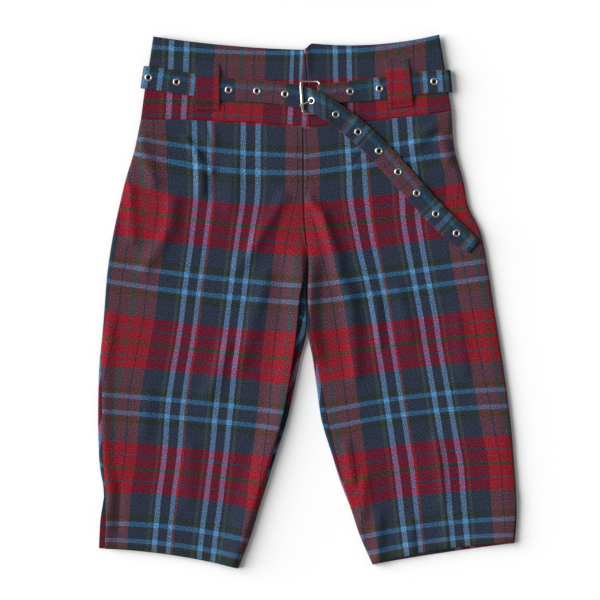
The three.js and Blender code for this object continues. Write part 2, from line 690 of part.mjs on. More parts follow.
// Cuts an eyelet's hole at each distance
function pierced(belt, distances) {
  let solid = toSolid(belt.solid);
  for (const distance of distances) solid = solid.subtract(toSolid(eyeletHole(belt, distance)));
  return toGeometry(solid);
}

// Distance along a belt length at which its upper layer comes nearest to a place seen from above
const FRONT_FAVOUR = 0.3;
function distanceNear(belt, x, y) {
  const steps = 800;
  let best = 0;
  let nearest = Infinity;
  for (let step = 0; step <= steps; step += 1) {
    const point = belt.curve.getPointAt(step / steps);
    const away = Math.hypot(point.x - x, point.y - y) - point.z * FRONT_FAVOUR;
    if (away < nearest) {
      nearest = away;
      best = step / steps;
    }
  }
  return best * belt.length;
}

const loopCurve = (points) => new THREE.CatmullRomCurve3(points, false, 'catmullrom', 0.2);

// Loops that hold the belt. Each lies on the waistband, passes over the belt's edge and lies on
// the belt: off is how far outside the belt's edge it leaves the waistband.
const LOOP_COLUMNS = ['topX', 'topY', 'bottomX', 'bottomY', 'beltTop', 'beltBottom', 'off'];
const [LEFT_LOOP, RIGHT_LOOP, BACK_LOOP] = table(LOOP_COLUMNS, [
  [LEFT_LOOP_X, 308.8, LEFT_LOOP_X, 248.4, 295.4, 260.6, 7],
  [115.0, 314.6, 121.6, 252.1, 297.2, 263.0, 7],
  [-10, 314, -10, 256, 302.1, 273.1, 6],
]);
const OVER_EDGE = 1.6;
const ON_BELT = 5;

function loopPath(loop, onBand, onBelt) {
  const { topX, topY, bottomX, bottomY, beltTop, beltBottom, off } = loop;
  const xAt = (y) => mix(topX, bottomX, (topY - y) / (topY - bottomY));
  const at = (y, z) => spot(xAt(y), y, z);
  return loopCurve([
    at(topY, onBand), at(beltTop + off, onBand), at(beltTop + OVER_EDGE, onBelt), at(beltTop - ON_BELT, onBelt),
    at(beltBottom + ON_BELT, onBelt), at(beltBottom - OVER_EDGE, onBelt), at(beltBottom - off, onBand),
    at(bottomY, onBand),
  ]);
}

const LOOP_STEP = 4;
function frontLoop(loop) {
  const onBand = BAND_FRONT_Z + CLOTH / 2 + SEAM_GAP + LOOP_THICK / 2;
  const onBelt = BELT_FRONT_Z + BELT_THICK / 2 + SEAM_GAP + LOOP_THICK / 2;
  return strip(loopPath(loop, onBand, onBelt), levelAcross, () => LOOP_WIDTH, LOOP_THICK, LOOP_STEP);
}

function backLoop() {
  const onBand = BAND_BACK_Z - CLOTH / 2 - SEAM_GAP - BACK_LOOP_THICK / 2;
  const onBelt = LOOP_CLEAR + BACK_LOOP_THICK / 2;
  return strip(loopPath(BACK_LOOP, onBand, onBelt), levelAcross, () => BACK_LOOP_WIDTH, BACK_LOOP_THICK, LOOP_STEP);
}

const WIRE_SIDES = 8;
const CORNER_STEPS = 3;
const ROLLER_SEGMENTS = 16;
const PRONG_STEPS = 20;

// Round wire through points: rings set square to the path
function wire(curve, radius, steps, sides, closed) {
  const frames = curve.computeFrenetFrames(steps, closed);
  const rings = [];
  const count = closed ? steps : steps + 1;
  for (let step = 0; step < count; step += 1) {
    const middle = curve.getPointAt(step / steps);
    const ring = [];
    for (let side = 0; side < sides; side += 1) {
      const angle = (side / sides) * Math.PI * 2;
      ring.push(middle.clone()
        .addScaledVector(frames.normals[step], radius * Math.cos(angle))
        .addScaledVector(frames.binormals[step], radius * Math.sin(angle)));
    }
    rings.push(ring);
  }
  return sweep(rings, closed);
}

// Turns a place on the upright buckle to its lie on the belt
function buckleSpot(x, y, z) {
  return spot(x + barShift(y), y, z);
}

// The frame is one closed wire with rounded corners; its long sides bow down a little
function buckleFrame() {
  const halfWidth = (HINGE_BAR_X - ROLLER_BAR_X) / 2;
  const halfHeight = BUCKLE_HEIGHT / 2;
  const corners = [[1, 1], [-1, 1], [-1, -1], [1, -1]];
  const rings = [];
  const addRing = (x, y, outX, outY) => {
    const share = (x + halfWidth) / (2 * halfWidth);
    const z = BUCKLE_Z - BUCKLE_SAG * Math.sin(Math.PI * clamp(share, 0, 1)) * (Math.abs(y) > halfHeight - 1 ? 1 : 0);
    const ring = [];
    for (let side = 0; side < WIRE_SIDES; side += 1) {
      const angle = (side / WIRE_SIDES) * Math.PI * 2;
      const reach = FRAME_WIRE_RADIUS * Math.cos(angle);
      ring.push(buckleSpot(
        BUCKLE_MIDDLE.x + x + outX * reach,
        BUCKLE_MIDDLE.y + y + outY * reach,
        z + FRAME_WIRE_RADIUS * Math.sin(angle),
      ));
    }
    rings.push(ring);
  };
  corners.forEach(([signX, signY], index) => {
    const startAngle = index * 90;
    for (let step = 0; step <= CORNER_STEPS; step += 1) {
      const angle = THREE.MathUtils.degToRad(startAngle + (step / CORNER_STEPS) * 90);
      const [outX, outY] = [Math.cos(angle), Math.sin(angle)];
      addRing(
        signX * (halfWidth - BUCKLE_CORNER) + BUCKLE_CORNER * outX,
        signY * (halfHeight - BUCKLE_CORNER) + BUCKLE_CORNER * outY,
        outX,
        outY,
      );
    }
    if (signY === 1 && signX === 1) [0.5, 0, -0.5].forEach((share) => addRing(share * halfWidth, halfHeight, 0, 1));
    if (signY === -1 && signX === -1) [-0.5, 0, 0.5].forEach((share) => addRing(share * halfWidth, -halfHeight, 0, -1));
  });
  return sweep(rings, true);
}

// The roller is a sleeve round the bar that the belt passes under
function buckleRoller() {
  const bore = FRAME_WIRE_RADIUS + SEAM_GAP;
  const half = BUCKLE_HEIGHT / 2 - BUCKLE_CORNER - 0.4;
  const profile = [[bore, -half], [ROLLER_RADIUS, -half], [ROLLER_RADIUS, half], [bore, half]];
  return turned(profile, ROLLER_SEGMENTS, (a, b, height) =>
    buckleSpot(ROLLER_BAR_X + a, BUCKLE_MIDDLE.y + height, BUCKLE_Z + b));
}

// The prong leaves the hinge bar, comes up through an eyelet and rests on the roller. Its places
// are measured from the bar, then in the eyelet's own frame, then from the last of those.
const PRONG_AT_BAR = table(['x', 'y', 'z'], [[0, 0, -0.4], [-3.2, -0.2, -1.9]]);
const PRONG_IN_EYELET = table(['along', 'height'], [[0.6, -3.9], [0.1, -1.8], [0, 0.6], [0, 3.0]]);
const PRONG_TO_ROLLER = table(['x', 'y', 'lift'], [[-2.2, -0.9, 0.9], [-5.4, -2.4, 0.7]]);
const PRONG_TIP = { x: ROLLER_BAR_X - 2.4, y: -6.2 };
function buckleProng(eyeletPlace) {
  const rest = BUCKLE_Z + ROLLER_RADIUS + SEAM_GAP + PRONG_RADIUS;
  const start = HINGE_BAR_X + barShift(SLOT.y) - FRAME_WIRE_RADIUS - SEAM_GAP;
  const atBar = PRONG_AT_BAR.map((row) => spot(start + row.x, SLOT.y + row.y, BUCKLE_Z + row.z));
  const inEyelet = PRONG_IN_EYELET.map((row) => eyeletPlace(row.along, 0, row.height));
  const above = inEyelet[inEyelet.length - 1];
  const toRoller = PRONG_TO_ROLLER.map((row) => spot(above.x + row.x, above.y + row.y, rest + row.lift));
  const tip = spot(PRONG_TIP.x, above.y + PRONG_TIP.y, rest);
  return wire(path([...atBar, ...inEyelet, ...toRoller, tip]), PRONG_RADIUS, PRONG_STEPS, WIRE_SIDES, false);
}

// The slot in the belt's fold where the prong is hinged on its bar
const SLOT = { width: 3.6, x: [8, HINGE_BAR_X + 1], y: 262.9, z: [BUCKLE_Z - 5, BUCKLE_Z + 3.2] };
function prongSlot() {
  const [nearX, farX] = SLOT.x;
  const [lowZ, highZ] = SLOT.z;
  const rings = [SLOT.y - SLOT.width / 2, SLOT.y + SLOT.width / 2].map((y) => [
    spot(nearX, y, lowZ), spot(farX, y, lowZ), spot(farX, y, highZ), spot(nearX, y, highZ),
  ]);
  return sweep(rings);
}

const PRONG_EYELET = { x: 6.1, y: 261.8 };

// Eyelet places on each length of the belt, seen from above
const BACK_EYELETS = [[-206, 291], [-169.6, 285], [164.7, 286]];
const HINGE_EYELETS = [[55.4, 272.6], [93.7, 276.5]];
const BUCKLE_EYELETS_BEFORE = 3;
const BUCKLE_EYELETS_AFTER = 7;

const garment = new THREE.Group();

function add(name, geometry, material) {
  const mesh = new THREE.Mesh(geometry, material);
  mesh.name = name;
  garment.add(mesh);
}

function addCloth() {
  add('leg_front_left', legPanel('front', LEFT_LEG, LEFT_FOLDS, FRONT_HEM_LIFT.left), clothMaterial());
  add('leg_front_right', legPanel('front', RIGHT_LEG, RIGHT_FOLDS, FRONT_HEM_LIFT.right), clothMaterial());
  add('leg_back_left', legPanel('back', LEFT_LEG, [], 0), clothMaterial());
  add('leg_back_right', legPanel('back', RIGHT_LEG, [], 0), clothMaterial());
  add('waistband_front_left', frontBand(LEFT_BAND), clothMaterial());
  add('waistband_front_right', frontBand(RIGHT_BAND), clothMaterial());
  add('waistband_back', backBand(), clothMaterial());
  add('belt_loop_front_left', frontLoop(LEFT_LOOP), clothMaterial());
  add('belt_loop_front_right', frontLoop(RIGHT_LOOP), clothMaterial());
  add('belt_loop_back', backLoop(), clothMaterial());
}

function addBelt() {
  const buckle = buckleEnd();
  const hinge = hingeEnd();
  const back = backRun();
  const pronged = distanceNear(buckle, PRONG_EYELET.x, PRONG_EYELET.y);
  const buckleDistances = [];
  for (let index = -BUCKLE_EYELETS_BEFORE; index <= BUCKLE_EYELETS_AFTER; index += 1) {
    buckleDistances.push(pronged + index * EYELET_PITCH);
  }
  const hingeDistances = HINGE_EYELETS.map(([x, y]) => distanceNear(hinge, x, y));
  const backDistances = BACK_EYELETS.map(([x, y]) => distanceNear(back, x, y));
  const hingePierced = toSolid(pierced(hinge, hingeDistances)).subtract(toSolid(prongSlot()));
  add('belt_buckle_end', pierced(buckle, buckleDistances), clothMaterial(COLOURS.belt));
  add('belt_hinge_end', toGeometry(hingePierced), clothMaterial(COLOURS.belt));
  add('belt_back', pierced(back, backDistances), clothMaterial(COLOURS.belt));
  buckleDistances.forEach((distance, index) => add(`eyelet_buckle_end_${index + 1}`, eyelet(buckle, distance), metalMaterial()));
  hingeDistances.forEach((distance, index) => add(`eyelet_hinge_end_${index + 1}`, eyelet(hinge, distance), metalMaterial()));
  backDistances.forEach((distance, index) => add(`eyelet_back_${index + 1}`, eyelet(back, distance), metalMaterial()));
  return beltFrame(buckle, pronged);
}

function addBuckle(eyeletPlace) {
  add('buckle_frame', buckleFrame(), metalMaterial());
  add('buckle_roller', buckleRoller(), metalMaterial());
  add('buckle_prong', buckleProng(eyeletPlace), metalMaterial());
}

addCloth();
addBuckle(addBelt());

export default garment;
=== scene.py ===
"""Tartan capri pants with their own belt, laid flat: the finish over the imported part.

Sizes are millimetres until a mesh is made. The waist points to +Y and the front faces +Z.
"""

import math

import bmesh
import bpy
import numpy as np
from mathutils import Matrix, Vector, noise
from mathutils.bvhtree import BVHTree


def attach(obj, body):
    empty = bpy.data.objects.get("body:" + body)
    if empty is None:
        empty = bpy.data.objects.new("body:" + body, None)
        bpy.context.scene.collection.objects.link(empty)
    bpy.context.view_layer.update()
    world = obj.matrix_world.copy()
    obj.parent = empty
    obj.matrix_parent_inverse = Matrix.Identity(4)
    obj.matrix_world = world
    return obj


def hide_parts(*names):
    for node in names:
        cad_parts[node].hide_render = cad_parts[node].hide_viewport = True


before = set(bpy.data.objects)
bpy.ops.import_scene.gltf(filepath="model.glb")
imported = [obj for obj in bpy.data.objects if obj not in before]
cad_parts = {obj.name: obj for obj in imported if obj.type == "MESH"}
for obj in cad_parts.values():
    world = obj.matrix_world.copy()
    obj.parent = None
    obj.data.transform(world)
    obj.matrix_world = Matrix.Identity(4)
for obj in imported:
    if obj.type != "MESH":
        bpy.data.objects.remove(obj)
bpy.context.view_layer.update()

MM = 0.001

# Driving sizes
SEAM_GAP = 0.3
SEWN_SHUT = 0.02
CLOTH = 1.5
BELT_WIDTH = 29
BELT_THICK = 2.0
LOOP_THICK = 1.2
LOOP_WIDTH = 31.5
BACK_LOOP_THICK = 1.0
BACK_LOOP_WIDTH = 26
LOOP_CLEAR = 0.15
ROLLER_RADIUS = 2.35
WIRE_RADIUS = 1.25
PRONG_RADIUS = 1.0
EYELET_FLANGE_RADIUS = 5.0
EYELET_BORE_RADIUS = 2.6
EYELET_PITCH = 36.7

# Heights of the layers at the waist, as the middle of each layer
BELT_BACK_Z = BACK_LOOP_THICK + LOOP_CLEAR + SEAM_GAP + BELT_THICK / 2
BAND_BACK_Z = BELT_BACK_Z + BELT_THICK / 2 + SEAM_GAP + CLOTH / 2
BAND_FRONT_Z = BAND_BACK_Z + CLOTH + 1.0
BELT_FRONT_Z = BAND_FRONT_Z + CLOTH / 2 + SEAM_GAP + BELT_THICK / 2
BUCKLE_Z = BELT_FRONT_Z + BELT_THICK / 2 + SEAM_GAP + ROLLER_RADIUS

LEG_BACK_Z = CLOTH / 2
LEG_FRONT_Z = 5.55
CROTCH = (60, 86)
SLIT = (389, 401)


def table(columns, rows):
    return [dict(zip(columns, row)) for row in rows]


# Leg sections along the cloth's weft. outer and inner are the ends, sag the rise of the middle,
# side_seam and inseam how far the front stops short, low and high the heights of the layers,
# line_a and line_b where two light-blue warp lines cross.
LEG_COLUMNS = ("down", "outer_x", "outer_y", "inner_x", "inner_y", "sag", "side_seam", "inseam",
               "low", "high", "line_a", "line_b")
LEFT_LEG = table(LEG_COLUMNS, [
    (-90, -216.5, 236.1, -5.9, 226.5, 2.9, 0.5, 0.5, BAND_BACK_Z, BAND_FRONT_Z, -147.3, -83.7),
    (-45, -224.9, 196.3, -5.6, 177.5, 0, 0.5, 0.5, 1.7, 6.2, -146.3, -84.1),
    (0, -236.7, 156.7, -5.3, 128.4, -5, 0.5, 0.5, LEG_BACK_Z, LEG_FRONT_Z, -145.1, -84.6),
    (33, -244.9, 122.2, -3.3, 93.6, -5, 0.5, 0.5, LEG_BACK_Z, LEG_FRONT_Z, -148.1, -89.2),
    (66, -252.5, 87.1, 0.4, 57.9, -3, 0.5, 0.5, LEG_BACK_Z, LEG_FRONT_Z, -152.0, -93.9),
    (115, -260.1, 37.1, -0.5, 8.0, -2, 0.5, 9.0, LEG_BACK_Z, LEG_FRONT_Z, -158.6, -100.0),
    (162, -264.0, -11.4, -1.6, -41.0, -1.3, 0.5, 12.7, LEG_BACK_Z, LEG_FRONT_Z, -164.1, -105.8),
    (195, -266.9, -46.8, -9.9, -75.4, -0.5, 0.8, 9.0, LEG_BACK_Z, LEG_FRONT_Z, -169.3, -110.2),
    (228, -270.5, -82.3, -16.3, -108.6, 2, 3.2, 7.8, LEG_BACK_Z, LEG_FRONT_Z, -175.0, -114.5),
    (277, -272.0, -130.7, -26.7, -154.7, 1, 5.6, 6.5, LEG_BACK_Z, LEG_FRONT_Z, -181.7, -119.9),
    (325, -271.8, -178.8, -41.3, -200.9, 0, 6.0, 4.8, LEG_BACK_Z, LEG_FRONT_Z, -184.9, -124.2),
    (358, -269.9, -213.2, -52.3, -236.0, 3, 5.3, 2.3, LEG_BACK_Z, LEG_FRONT_Z, -188.4, -128.2),
    (391, -264.9, -247.7, -63.3, -271.1, 7, 3.0, 0.5, LEG_BACK_Z, LEG_FRONT_Z, -192.9, -132.0),
    (427, -269.4, -284.7, -74.8, -308.1, 6, 8.2, 0.5, LEG_BACK_Z, LEG_FRONT_Z, -196.6, -136.9),
    (465, -271.3, -320.5, -89.6, -346.6, 5, 8.7, 0.5, LEG_BACK_Z, LEG_FRONT_Z, -199.8, -141.3),
])
RIGHT_LEG = table(LEG_COLUMNS, [
    (-90, 186.8, 247.3, -5.6, 225.1, -1, 0.5, 0.5, BAND_BACK_Z, BAND_FRONT_Z, 46.2, 109.2),
    (-45, 190.6, 200.9, -5.3, 177.5, 0, 0.5, 0.5, 1.7, 6.2, 49.5, 113.0),
    (0, 202.8, 154.6, -5.0, 128.4, -1, 0.5, 0.5, LEG_BACK_Z, LEG_FRONT_Z, 51.5, 118.3),
    (33, 209.4, 122.2, -3.0, 93.6, -1, 0.5, 0.5, LEG_BACK_Z, LEG_FRONT_Z, 57.0, 120.3),
    (66, 224.8, 89.8, 0.7, 57.9, -1, 0.5, 0.5, LEG_BACK_Z, LEG_FRONT_Z, 64.0, 125.6),
    (115, 234.7, 41.0, -0.2, 8.0, 0, 0.5, 0.8, LEG_BACK_Z, LEG_FRONT_Z, 75.0, 134.8),
    (162, 242.1, -7.4, 0.3, -39.1, 0, 0.5, 4.2, LEG_BACK_Z, LEG_FRONT_Z, 83.3, 143.5),
    (195, 247.7, -41.3, 6.5, -72.8, 1, 0.5, 4.8, LEG_BACK_Z, LEG_FRONT_Z, 88.4, 148.6),
    (228, 253.0, -75.3, 11.3, -106.2, 2, 0.5, 6.8, LEG_BACK_Z, LEG_FRONT_Z, 93.5, 154.3),
    (277, 260.0, -124.5, 18.1, -153.8, 3, 0.5, 8.6, LEG_BACK_Z, LEG_FRONT_Z, 100.6, 162.5),
    (325, 265.6, -173.7, 32.4, -200.9, 3.8, 0.5, 5.3, LEG_BACK_Z, LEG_FRONT_Z, 107.6, 170.4),
    (358, 268.2, -208.3, 42.6, -234.0, 4.5, 0.5, 4.0, LEG_BACK_Z, LEG_FRONT_Z, 112.5, 176.0),
    (391, 270.9, -242.8, 55.6, -267.2, 5, 0.5, 0.8, LEG_BACK_Z, LEG_FRONT_Z, 116.5, 179.1),
    (427, 272.1, -278.2, 68.0, -304.2, 3, 2.0, 0.5, LEG_BACK_Z, LEG_FRONT_Z, 120.9, 182.5),
    (465, 269.2, -313.8, 84.4, -341.6, 1.5, 2.0, 0.5, LEG_BACK_Z, LEG_FRONT_Z, 125.5, 185.8),
])
# Weft of the leg sections at their two ends, and how much further up the cloth their middles are
WEFT_COLUMNS = ("down", "outer", "inner", "bow")
LEG_WEFT = {
    "left": table(WEFT_COLUMNS, [
        (-90, -120.5, -130, -7),
        (-45, -74.5, -80, -6),
        (0, -33, -33, -8.5),
        (33, 0.5, 0.5, 0),
        (115, 82.5, 82.5, -1),
        (162, 130, 130, -3),
        (228, 195.5, 195.5, 0.5),
        (391, 358.5, 358.5, 0),
        (465, 430.5, 433.5, 0),
    ]),
    "right": table(WEFT_COLUMNS, [
        (-90, -125.2, -130.5, 0),
        (-45, -78.8, -81.5, 0),
        (0, -33, -33, -1.5),
        (33, 0.5, 0.5, 0),
        (162, 130, 130, 0),
        (228, 195.5, 195.5, 2.5),
        (391, 358.5, 358.5, 1.5),
        (465, 429.5, 433.5, 0),
    ]),
}
# Warp positions of the two lines, as places in the tartan's repeat
LINES = {"left": (69.25, 131.1), "right": (66.0, 128.0)}
FRONT_HEM_LIFT = {"left": 0, "right": 4.5}

# Waistband rows from the top edge down, with the weft at each end and where warp zero crosses
BAND_COLUMNS = ("down", "outer_x", "outer_y", "inner_x", "inner_y", "sag", "weft_out", "weft_in", "zero_x")
LEFT_BAND = table(BAND_COLUMNS, [
    (0, -200.3, 344.1, -3.9, 326.6, -3.2, -84, -75, -86.0),
    (30, -204.8, 314.0, -1.6, 303.6, -2, -54, -48, -87.0),
    (70, -211.3, 275.0, 1.6, 265.9, 0, -14, -10, -88.5),
    (108, -216.5, 236.1, 4.6, 226.5, 2.6, 23.4, 27, -90.4),
])
RIGHT_BAND = table(BAND_COLUMNS, [
    (0, 171.0, 346.5, -3.6, 336.2, -8, -71, -82, 118.5),
    (30, 176.8, 311.4, -1.3, 306.2, -5, -40, -50, 119.0),
    (70, 182.7, 272.4, 1.9, 265.9, -2, -3, -9, 120.0),
    (108, 186.8, 247.3, 4.9, 226.3, -1, 26, 31, 121.5),
])
# The back waistband lies lower in its middle, and by a share of that at its sides
BACK_BAND_DROP = 9
BACK_SIDE_DROP = 0.15
BACK_DROP_ENDS = (0, 50)
BACK_BAND_WEFT = -75

# Folds and hollows of the front panels: a line, half its width and its height
FOLD_COLUMNS = ("x1", "y1", "x2", "y2", "spread", "height")
LEFT_FOLDS = table(FOLD_COLUMNS, [
    (-135, 232, -129, 202, 4, 1.8),
    (-122, 232, -119, 203, 4, 1.5),
    (-158, 211, -147, 196, 4.5, 3.4),
    (-147, 196, -137, 178, 4.5, 4.4),
    (-137, 178, -125, 170, 4.5, 4.4),
    (-137, 178, -138, 145, 7, 4.0),
    (-123, 160, -122, 132, 7, -1.2),
    (-96, 184, -100, 122, 10, 2.4),
    (-174, 128, -177, 98, 9, 3.8),
    (-177, 98, -210, 44, 9, 3.8),
    (-216, 206, -200, 155, 9, 3.6),
    (-229, 145, -227, 80, 7, 2.8),
    (-31, 135, -68, 73, 8, 3.6),
    (-68, 73, -88, 47, 9, 3.2),
    (-54, 31, -64, -5, 9, 3.2),
    (-64, -5, -75, -37, 9, 2.4),
    (-106, -60, -129, -122, 10, 3.2),
    (-72, -37, -88, -83, 11, 3.0),
    (-205, -120, -211, -170, 9, 1.6),
    (-150, -190, -156, -260, 10, 1.6),
    (-245, -238, -246, -297, 6, -2.0),
])
RIGHT_FOLDS = table(FOLD_COLUMNS, [
    (2, 132, 19, 112, 7, 4.4),
    (19, 112, 38, 60, 8, 5.2),
    (38, 60, 42, 34, 9, 5.4),
    (42, 34, 54, 8, 10, 5.2),
    (54, 8, 60, -37, 10, 5.0),
    (60, -37, 63, -95, 9, 3.6),
    (89, 2, 92, -57, 7, 2.2),
    (118, 15, 133, -44, 10, 2.6),
    (196, -24, 203, -89, 10, 2.4),
    (53, 180, 67, 196, 5, 1.4),
    (64, 175, 76, 190, 5, 1.2),
    (170, 236, 139, 202, 8, 3.0),
    (174, 212, 182, 184, 8, 3.0),
    (50, -187, 58, -232, 7, 2.6),
    (73, -232, 71, -278, 7, 2.6),
    (93, -278, 91, -336, 7, 2.2),
    (105, -290, 107, -336, 8, -0.8),
    (167, -180, 176, -258, 7, 2.4),
    (136, -284, 136, -326, 6, 1.8),
    (179, -284, 179, -322, 6, 1.8),
])
# Ridges that follow a panel's outer or inner edge: between two rows, the crest's distance from the
# edge, where the ridge has run out, and its height
EDGE_RIDGE_COLUMNS = ("edge", "begin", "to", "crest", "far", "height")
LEFT_EDGE_RIDGES = table(EDGE_RIDGE_COLUMNS, [
    ("outer", 150, 520, 9, 23, 2.4),
    ("inner", 40, 560, 8, 38, 5.6),
])
RIGHT_EDGE_RIDGES = table(EDGE_RIDGE_COLUMNS, [
    ("inner", 50, 220, 3, 22, 7.0),
    ("outer", 20, 560, 16, 60, 1.2),
])
RIDGE_FADE = 45

LEGS = {"left": LEFT_LEG, "right": RIGHT_LEG}
BANDS = {"left": LEFT_BAND, "right": RIGHT_BAND}
FOLDS = {"left": LEFT_FOLDS, "right": RIGHT_FOLDS}
EDGE_RIDGES = {"left": LEFT_EDGE_RIDGES, "right": RIGHT_EDGE_RIDGES}


def mix(a, b, share):
    return a + (b - a) * share


def clamp(value, low, high):
    return min(max(value, low), high)


def smooth(start, end, value):
    share = clamp((value - start) / (end - start), 0, 1)
    return share * share * (3 - 2 * share)


def smooth_way(begin, to, slope_begin, slope_to, share):
    """From one number or vector to another, with given slopes at both."""
    square, cube = share ** 2, share ** 3
    return (begin * (2 * cube - 3 * square + 1) + slope_begin * (cube - 2 * square + share)
            + to * (3 * square - 2 * cube) + slope_to * (cube - square))


def read_row(rows, down):
    """The table read smoothly at any value of its first column."""
    index = 0
    while index < len(rows) - 2 and down > rows[index + 1]["down"]:
        index += 1
    begin, to = rows[index], rows[index + 1]
    before, after = rows[max(index - 1, 0)], rows[min(index + 2, len(rows) - 1)]
    span = to["down"] - begin["down"]
    share = (down - begin["down"]) / span
    result = {"down": down}
    for name in begin:
        if name == "down":
            continue
        slope_begin = (to[name] - before[name]) / (to["down"] - before["down"]) * span
        slope_to = (after[name] - begin[name]) / (after["down"] - begin["down"]) * span
        result[name] = smooth_way(begin[name], to[name], slope_begin, slope_to, share)
    return result


def fold_height(folds, x, y):
    rise, hollow = 0.0, 0.0
    for fold in folds:
        along_x, along_y = fold["x2"] - fold["x1"], fold["y2"] - fold["y1"]
        square = along_x ** 2 + along_y ** 2
        share = clamp(((x - fold["x1"]) * along_x + (y - fold["y1"]) * along_y) / square, 0, 1)
        away = math.hypot(x - fold["x1"] - share * along_x, y - fold["y1"] - share * along_y)
        height = fold["height"] * math.exp(-(away / fold["spread"]) ** 2)
        rise, hollow = max(rise, height), min(hollow, height)
    return rise + hollow


def edge_ridge_height(ridges, from_outer, from_inner, down):
    height = 0.0
    for ridge in ridges:
        away = from_outer if ridge["edge"] == "outer" else from_inner
        present = (smooth(ridge["begin"], ridge["begin"] + RIDGE_FADE, down)
                   * smooth(ridge["to"], ridge["to"] - RIDGE_FADE, down))
        shape = smooth(0, ridge["crest"], away) * smooth(ridge["far"], ridge["crest"], away)
        height += ridge["height"] * present * shape
    return height


def on_fold(length, radius):
    """A point on the side fold, measured along the cloth from its outermost point."""
    quarter = radius * math.pi / 2
    edge = CLOTH / 2 + radius
    if length > quarter:
        return edge + length - quarter, radius, 0.0, 1.0
    if length < -quarter:
        return edge - length - quarter, -radius, 0.0, -1.0
    angle = length / radius
    return edge - radius * math.cos(angle), radius * math.sin(angle), math.cos(angle), math.sin(angle)


def seam_length(shortfall, radius):
    edge = CLOTH / 2 + radius
    if shortfall >= edge:
        return radius * math.pi / 2 + shortfall - edge
    return radius * math.acos(clamp((edge - shortfall) / radius, 0, 1))


END_STEPS = {"front": 5, "back": 12}
FLAT_REACH = 5


def end_of_section(layer, radius, shortfall, opened):
    """Points of one end of a section, from the panel's edge inwards: inward, rise, out, up."""
    quarter = radius * math.pi / 2
    seam = seam_length(shortfall, radius)
    is_front = layer == "front"
    side = 1 if is_front else -1
    begin = seam + SEAM_GAP / 2 * side
    to = max(seam, quarter) + FLAT_REACH if is_front else -quarter
    edge = shortfall if is_front else SEAM_GAP / 2
    flat_end = edge + radius + FLAT_REACH if is_front else CLOTH / 2 + radius
    points = []
    for step in range(END_STEPS[layer] + 1):
        share = step / END_STEPS[layer]
        folded = on_fold(mix(begin, to, share), radius)
        flat = (mix(edge, flat_end, share), side * radius, 0.0, float(side))
        inward, rise, out, up = (mix(a, b, opened) for a, b in zip(folded, flat))
        size = math.hypot(out, up)
        points.append((inward, rise, out / size, up / size))
    return points


def section(layer, row, outer_open, inner_open, relief, flat_steps):
    """One section of a panel: places along it, and its outside and inside points."""
    start = Vector((row["outer_x"], row["outer_y"]))
    chord = Vector((row["inner_x"], row["inner_y"])) - start
    width = chord.length
    along = chord / width
    radius = (row["high"] - row["low"]) / 2
    middle = (row["high"] + row["low"]) / 2
    first = end_of_section(layer, radius, row["side_seam"], outer_open)
    final = end_of_section(layer, radius, row["inseam"], inner_open)
    points = [(inward, rise, -out, up) for inward, rise, out, up in first]
    begin, to = points[-1], (width - final[-1][0], final[-1][1])
    for step in range(1, flat_steps):
        share = step / flat_steps
        points.append((mix(begin[0], to[0], share), mix(begin[1], to[1], share), 0.0, begin[3]))
    points += [(width - inward, rise, out, up) for inward, rise, out, up in reversed(final)]
    middles, normals = [], []
    for place, rise, out, up in points:
        share = place / width
        x = start.x + along.x * place
        y = start.y + along.y * place + (row["sag"] + row.get("lift", 0)) * 4 * share * (1 - share)
        z = middle + rise + relief(x, y, place, width - place, row["down"])
        middles.append(Vector((x, y, z)))
        normals.append(Vector((along.x * out, along.y * out, up)))
    return middles, normals


def travels(middles):
    """Length along a section at each of its points."""
    lengths = [0.0]
    for a, b in zip(middles, middles[1:]):
        lengths.append(lengths[-1] + (b - a).length)
    return lengths


# The cloth's mapping. Warp is measured across the cloth and weft down it, both in millimetres,
# from the centre of a red band.
CLOTH_MAP = "cloth"


def new_piece(name, points, faces, cloth, material):
    """A mesh piece from points in millimetres, with its place in the tartan at each point."""
    mesh = bpy.data.meshes.new(name)
    mesh.from_pydata([Vector(p) * MM for p in points], [], faces)
    if cloth is not None:
        layer = mesh.uv_layers.new(name=CLOTH_MAP)
        corners = np.empty(len(mesh.loops), dtype=np.int32)
        mesh.loops.foreach_get("vertex_index", corners)
        layer.data.foreach_set("uv", np.asarray(cloth, dtype=np.float32)[corners].ravel())
    mesh.materials.append(material)
    mesh.validate()
    mesh.update()
    piece = bpy.data.objects.new(name, mesh)
    bpy.context.collection.objects.link(piece)
    face_outwards(piece)
    for polygon in mesh.polygons:
        polygon.use_smooth = True
    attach(piece, "root")
    return piece


def face_outwards(piece):
    """Turns a closed mesh the right way out."""
    mesh = piece.data
    mesh.calc_loop_triangles()
    volume = 0.0
    for triangle in mesh.loop_triangles:
        a, b, c = (mesh.vertices[index].co for index in triangle.vertices)
        volume += a.dot(b.cross(c))
    if volume < 0:
        mesh.flip_normals()


def wall_faces(rows, columns):
    """Faces of a closed wall between two grids of points, the outside one first."""
    def at(side, row, column):
        return side * rows * columns + row * columns + column

    def corners(side, row, column):
        return (at(side, row, column), at(side, row + 1, column),
                at(side, row + 1, column + 1), at(side, row, column + 1))

    faces = []
    for row in range(rows - 1):
        for column in range(columns - 1):
            faces.append(corners(0, row, column))
            a, b, c, d = corners(1, row, column)
            faces.append((a, d, c, b))
    last = columns - 1
    for row in range(rows - 1):
        faces.append((at(0, row, 0), at(1, row, 0), at(1, row + 1, 0), at(0, row + 1, 0)))
        faces.append((at(0, row + 1, last), at(1, row + 1, last), at(1, row, last), at(0, row, last)))
    last = rows - 1
    for column in range(columns - 1):
        beside = column + 1
        faces.append((at(0, 0, beside), at(1, 0, beside), at(1, 0, column), at(0, 0, column)))
        faces.append((at(0, last, column), at(1, last, column), at(1, last, beside), at(0, last, beside)))
    return faces


